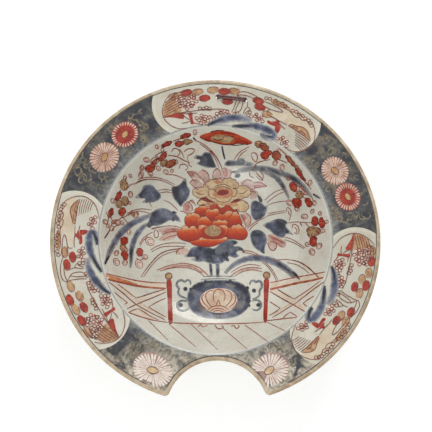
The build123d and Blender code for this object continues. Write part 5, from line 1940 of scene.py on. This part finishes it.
# %% Drawn lines of the landscape
dark_routes = (
    ((0.016, 0.435), (0.08, 0.43), (0.16, 0.405), (0.25, 0.395), (0.31, 0.375)),
    ((0.25, 0.41), (0.31, 0.4), (0.36, 0.405), (0.42, 0.395)),
    ((0.435, 0.36), (0.445, 0.45), (0.452, 0.58), (0.456, 0.7), (0.452, 0.8)),
    ((0.455, 0.37), (0.462, 0.5), (0.475, 0.64), (0.484, 0.69)),
    ((0.462, 0.36), (0.485, 0.42), (0.492, 0.52), (0.49, 0.64), (0.47, 0.72), (0.455, 0.78)),
    ((0.508, 0.36), (0.512, 0.46), (0.522, 0.55), (0.518, 0.66)),
    ((0.516, 0.36), (0.53, 0.45), (0.545, 0.49), (0.525, 0.55)),
    ((0.452, 0.8), (0.475, 0.86), (0.51, 0.865), (0.545, 0.84), (0.58, 0.79), (0.6, 0.73)),
    ((0.455, 0.77), (0.5, 0.79), (0.56, 0.76)),
    ((0.595, 0.77), (0.64, 0.765), (0.69, 0.75), (0.722, 0.715), (0.7, 0.67), (0.655, 0.645),
     (0.642, 0.6), (0.644, 0.54)), ((0.6, 0.68), (0.63, 0.655), (0.655, 0.645)),
    ((0.645, 0.5), (0.68, 0.505), (0.72, 0.49), (0.78, 0.5)), ((0.75, 0.42), (0.77, 0.4), (0.785, 0.395)),
    ((0.64, 0.82), (0.66, 0.8), (0.7, 0.795), (0.74, 0.81), (0.765, 0.79)),
    ((0.765, 0.8), (0.78, 0.765), (0.805, 0.765), (0.815, 0.8), (0.83, 0.775), (0.848, 0.8),
     (0.855, 0.83), (0.87, 0.81), (0.885, 0.84)), ((0.79, 0.84), (0.81, 0.86), (0.83, 0.84)),
    ((0.72, 0.84), (0.74, 0.87), (0.75, 0.83)),
    ((0.79, 0.5), (0.797, 0.55), (0.82, 0.58), (0.845, 0.62), (0.86, 0.648), (0.89, 0.65), (0.92, 0.6),
     (0.945, 0.53)), ((0.79, 0.5), (0.84, 0.505), (0.9, 0.515), (0.94, 0.505)),
    ((0.81, 0.515), (0.822, 0.545), (0.845, 0.555)),
    ((0.86, 0.52), (0.875, 0.56), (0.9, 0.555), (0.905, 0.525)),
    ((0.13, 0.37), (0.145, 0.28), (0.165, 0.22)), ((0.13, 0.4), (0.165, 0.36), (0.22, 0.34)),
    ((0.11, 0.18), (0.14, 0.17), (0.17, 0.19)), ((0.19, 0.13), (0.21, 0.1), (0.25, 0.05)),
    ((0.1, 0.8), (0.12, 0.86), (0.15, 0.885), (0.19, 0.87)), ((0.09, 0.8), (0.105, 0.84)),
)
thatch_lines = 6
shore_lines = 7
landscape_line = 0.62
thatch_line = 0.5
shore_line = 0.48


def thatch_route(share):
    """One straw of the roof, by its share of the way up it."""
    along, out = 0.018 + 0.035 * share, 0.46 + 0.27 * share
    return ((along, out), (0.07, out + 0.035), (0.13, out + 0.08), (0.175, out + 0.07))


def shore_route(share):
    """One line of the far shore, by its share of the way outwards."""
    return ((0.96 - 0.02 * abs(share - 0.5), 0.22 + 0.29 * share), (0.91, 0.235 + 0.28 * share),
            (0.84 + 0.05 * (1 - share), 0.235 + 0.26 * share))


landscape_strokes = [(route, landscape_line) for route in dark_routes + (inner_frame_start, inner_frame_end)]
for number in range(thatch_lines):
    landscape_strokes.append((thatch_route(number / (thatch_lines - 1)), thatch_line))
for number in range(shore_lines):
    landscape_strokes.append((shore_route(number / (shore_lines - 1)), shore_line))
print("lines in each landscape:", len(landscape_strokes))

# %% Clumps of small rings
# Middle of a clump, its half sizes along and outwards, and how many rings it holds
clumps = (
    (0.172, 0.64, 0.066, 0.2, 17), (0.255, 0.185, 0.054, 0.125, 11), (0.385, 0.31, 0.06, 0.08, 8),
    (0.6, 0.36, 0.054, 0.08, 7), (0.815, 0.13, 0.058, 0.085, 7),
)
bank_loop_places = (
    (0.765, 0.845), (0.785, 0.865), (0.805, 0.85), (0.825, 0.865), (0.845, 0.85), (0.865, 0.86),
    (0.88, 0.83), (0.895, 0.8), (0.66, 0.875), (0.68, 0.86), (0.7, 0.88), (0.72, 0.86), (0.61, 0.855),
    (0.63, 0.87), (0.105, 0.76), (0.12, 0.84), (0.2, 0.73), (0.215, 0.7), (0.13, 0.64), (0.195, 0.53),
    (0.24, 0.44), (0.262, 0.42), (0.28, 0.445), (0.3, 0.42), (0.455, 0.33), (0.47, 0.35), (0.545, 0.43),
    (0.54, 0.36), (0.325, 0.19), (0.34, 0.22),
)
red_speck_places = (
    (0.155, 0.54), (0.21, 0.54), (0.13, 0.74), (0.362, 0.34), (0.412, 0.31), (0.805, 0.15), (0.83, 0.155),
    (0.6, 0.37), (0.26, 0.15), (0.245, 0.22),
)
seed_turn = math.tau * (3 - math.sqrt(5)) / 2
clump_fill = 0.92
small_ring_line = (0.5, 0.6)


def packed(along, out, half_along, half_out, count):
    """Places spread evenly over an oval on a seed-head spiral, as in the middle of a sunflower."""
    places = []
    for number in range(count):
        reach = math.sqrt((number + 0.4) / count) * clump_fill
        turn = number * seed_turn
        places.append((along + half_along * reach * math.cos(turn), out + half_out * reach * math.sin(turn)))
    return places


ring_places = list(bank_loop_places)
for clump in clumps:
    ring_places += packed(*clump)
print("rings in each landscape:", len(ring_places))

# %% Laying the landscape into a panel
tree_half_along = 0.032
tree_edge = (0.035, 0.075)
gold_tree_half_out = 0.067
red_tree_half_out = 0.071
tree_line = 0.4
speck_radius = 0.85
# The solids of huts and trees span all three panels, so one panel's pieces stand for them
straw_stands_for = {"left": ("thatched_huts", "gold_panel_trees")}
red_stands_for = {"left": ("red_panel_trees",)}


def oval(along, out, half_along, half_out):
    """Nine points around an oval, in a panel's own measure."""
    return turned_oval((along, out), half_along, half_out, 0.0, 9)


def lay_shapes(piece, panel, outlines, trees=(), half_out=0.0):
    """Fills outlines that move with the landscape, and trees that keep their own places."""
    for outline in outlines:
        piece.fill_places([panel_place(panel, place) for place in outline])
    for along, out in trees:
        crown = oval(along, out, tree_half_along, half_out)
        piece.fill_places([panel_place(panel, place, shifted=False) for place in crown])


def ring_route(panel, number, place):
    """A small ring that begins at its own angle, so that no two look alike."""
    x, y = panel_place(panel, place)
    first = noise.noise(Vector((number * 1.3, 0.7, 2.0))) * 3.0
    turns = [first + math.tau * step / 7 for step in range(8)]
    return [(x + 1.6 * math.cos(turn), y + 1.35 * math.sin(turn)) for turn in turns]


def paint_landscape(panel):
    red_trees, gold_trees = panel_trees[panel]
    tan = Brushwork(f"bank_wash_{panel}", "bank_tan", wash_lift * 0.5)
    lay_shapes(tan, panel, (bank_wash,))
    tan.finish()
    blush = Brushwork(f"clump_blush_{panel}", "loop_blush", wash_lift * 0.75)
    lay_shapes(blush, panel, [oval(*clump[:4]) for clump in clumps])
    blush.finish()
    straw = Brushwork(f"thatch_{panel}", "thatch_straw", wash_lift)
    lay_shapes(straw, panel, (thatch, gold_cloud, far_bank), gold_trees, gold_tree_half_out)
    straw.finish(*straw_stands_for.get(panel, ()))
    red = Brushwork(f"red_trees_{panel}", "tree_red", body_lift)
    lay_shapes(red, panel, (red_wall, red_post) + pavilion, red_trees, red_tree_half_out)
    red.finish(*red_stands_for.get(panel, ()))

    lines = Brushwork(f"panel_lines_{panel}", "line_brown", line_lift)
    for route, width in landscape_strokes:
        lines.strip_places([panel_place(panel, place) for place in route], width)
    for number, place in enumerate(ring_places):
        lines.strip_places(ring_route(panel, number, place), small_ring_line)
    for along, out in red_trees + gold_trees:
        edge = oval(along, out, *tree_edge)[1:8]
        lines.strip_places([panel_place(panel, place, shifted=False) for place in edge], tree_line)
    lines.finish()

    specks = Brushwork(f"red_specks_{panel}", "tree_red", accent_lift)
    for place in red_speck_places:
        specks.dot_places(panel_place(panel, place), speck_radius, speck_radius)
    specks.finish()


for panel in panel_angles:
    paint_landscape(panel)

# %% [markdown]
# Blue sprays.
# Over each panel's inner edge hang two curved blades of cobalt, pale at one end and black where the
# brush was pressed. They are painted last, because they lie over the landscape: a broad stroke in
# blue, and a short black stroke on its foot, and on the hooked tip of the second blade.

# %% Blue sprays over the panels' inner edges
spray_blades = (
    ((0.28, 0.02), (0.33, 0.11), (0.39, 0.18), (0.45, 0.235), (0.51, 0.26), (0.57, 0.255)),
    ((0.45, 0.015), (0.52, 0.085), (0.59, 0.155), (0.66, 0.185), (0.72, 0.165), (0.745, 0.1), (0.7, 0.03),
     (0.655, 0.01)),
)
spray_widths = (2.2, 4.8, 6.2, 6.8, 6.4, 5.4, 3.0)
foot_widths = (1.2, 2.8, 2.4, 0.8)
hook_widths = (0.8, 2.8, 1.8)
for panel in panel_angles:
    spray = Brushwork(f"blue_spray_{panel}", "cobalt_spray", line_lift + 0.02)
    shade = Brushwork(f"blue_spray_shades_{panel}", "cobalt_black", line_lift + 0.05)
    for route in spray_blades:
        places = [panel_place(panel, place) for place in route]
        spray.strip_places(places, spray_widths)
        shade.strip_places(places[:3], foot_widths)
    shade.strip_places(places[-3:], hook_widths)
    spray.finish(f"leaf_spray_{panel}")
    shade.finish()
print("panels painted:", len(panel_angles))

# %% [markdown]
# The floor and the light.
# The bowl lies on a plain pale floor. The photograph's light comes broad and soft from beyond the
# bowl's far edge, so it brightens the near wall of the well and leaves the far wall in a gentle
# shade. A large soft lamp there and a weaker one nearer the viewer do this. The floor keeps the
# bowl's shadow, and its own paleness, not stronger lamps, makes the background white.

# %% Floor
floor_half = 3.0
floor_glow = 0.36
white = (1.0, 1.0, 1.0, 1.0)


def seen_directly(nodes, links):
    """1 where a ray was sent by the camera, a reflection or a transmission, and 0 elsewhere."""
    rays = nodes.new("ShaderNodeLightPath")
    factor = rays.outputs["Is Camera Ray"]
    for kind in ("Is Glossy Ray", "Is Transmission Ray"):
        either = nodes.new("ShaderNodeMath")
        either.operation = "MAXIMUM"
        links.new(factor, either.inputs[0])
        links.new(rays.outputs[kind], either.inputs[1])
        factor = either.outputs["Value"]
    return factor


def floor_finish():
    finish = Finish("studio_floor")
    clouds = finish.cloud(400.0, 2.0)
    finish.colour(finish.tones(clouds, (0.3, paint(232, 232, 231)), (0.7, paint(236, 236, 235))))
    finish.gloss(finish.cloud(200.0, 2.0), 0.8, 0.9)
    seen = seen_directly(finish.nodes, finish.links)
    finish.shader.inputs["Emission Color"].default_value = white
    glow = finish.spread(seen, 0.0, 1.0, 0.0, floor_glow)
    finish.links.new(glow, finish.shader.inputs["Emission Strength"])
    return finish.material


floor_mesh = bpy.data.meshes.new("studio_floor")
floor_corners = [(-floor_half, -floor_half, 0.0), (floor_half, -floor_half, 0.0),
                 (floor_half, floor_half, 0.0), (-floor_half, floor_half, 0.0)]
floor_mesh.from_pydata(floor_corners, [], [(0, 1, 2, 3)])
floor_mesh.materials.append(floor_finish())
floor = bpy.data.objects.new("studio_floor", floor_mesh)
bpy.context.scene.collection.objects.link(floor)
print("floor is", 2 * floor_half, "m wide")

# %% Lamps and background
lamp_target = Vector((0.0, 0.0, 0.04))
ambient_light = 0.53


def make_lamp(name, place, size, power):
    """A square soft lamp that faces the bowl."""
    data = bpy.data.lights.new(name, "AREA")
    data.shape = "SQUARE"
    data.size = size
    data.energy = power
    lamp = bpy.data.objects.new(name, data)
    lamp.location = place
    lamp.rotation_euler = (lamp_target - Vector(place)).to_track_quat("-Z", "Y").to_euler()
    bpy.context.scene.collection.objects.link(lamp)


def make_background(ambient):
    """White where it is seen or reflected, and an even soft light everywhere else."""
    world = bpy.data.worlds.new("studio_air")
    world.use_nodes = True
    bpy.context.scene.world = world
    nodes, links = world.node_tree.nodes, world.node_tree.links
    background = nodes["Background"]
    background.inputs["Color"].default_value = white
    strength = nodes.new("ShaderNodeMapRange")
    strength.inputs["To Min"].default_value = ambient
    strength.inputs["To Max"].default_value = 1.0
    links.new(seen_directly(nodes, links), strength.inputs["Value"])
    links.new(strength.outputs["Result"], background.inputs["Strength"])


make_lamp("high_window", (0.32, 1.5, 0.95), 0.9, 17.0)
make_lamp("front_fill", (-0.6, -1.0, 1.25), 1.0, 10.0)
make_background(ambient_light)
bpy.context.scene.view_settings.view_transform = "Standard"
print("lamps:", len(bpy.data.lights))

# %% [markdown]
# The painted pieces are counted.

# %% Count the painted pieces


print("painted pieces:", len(brushwork_pieces))
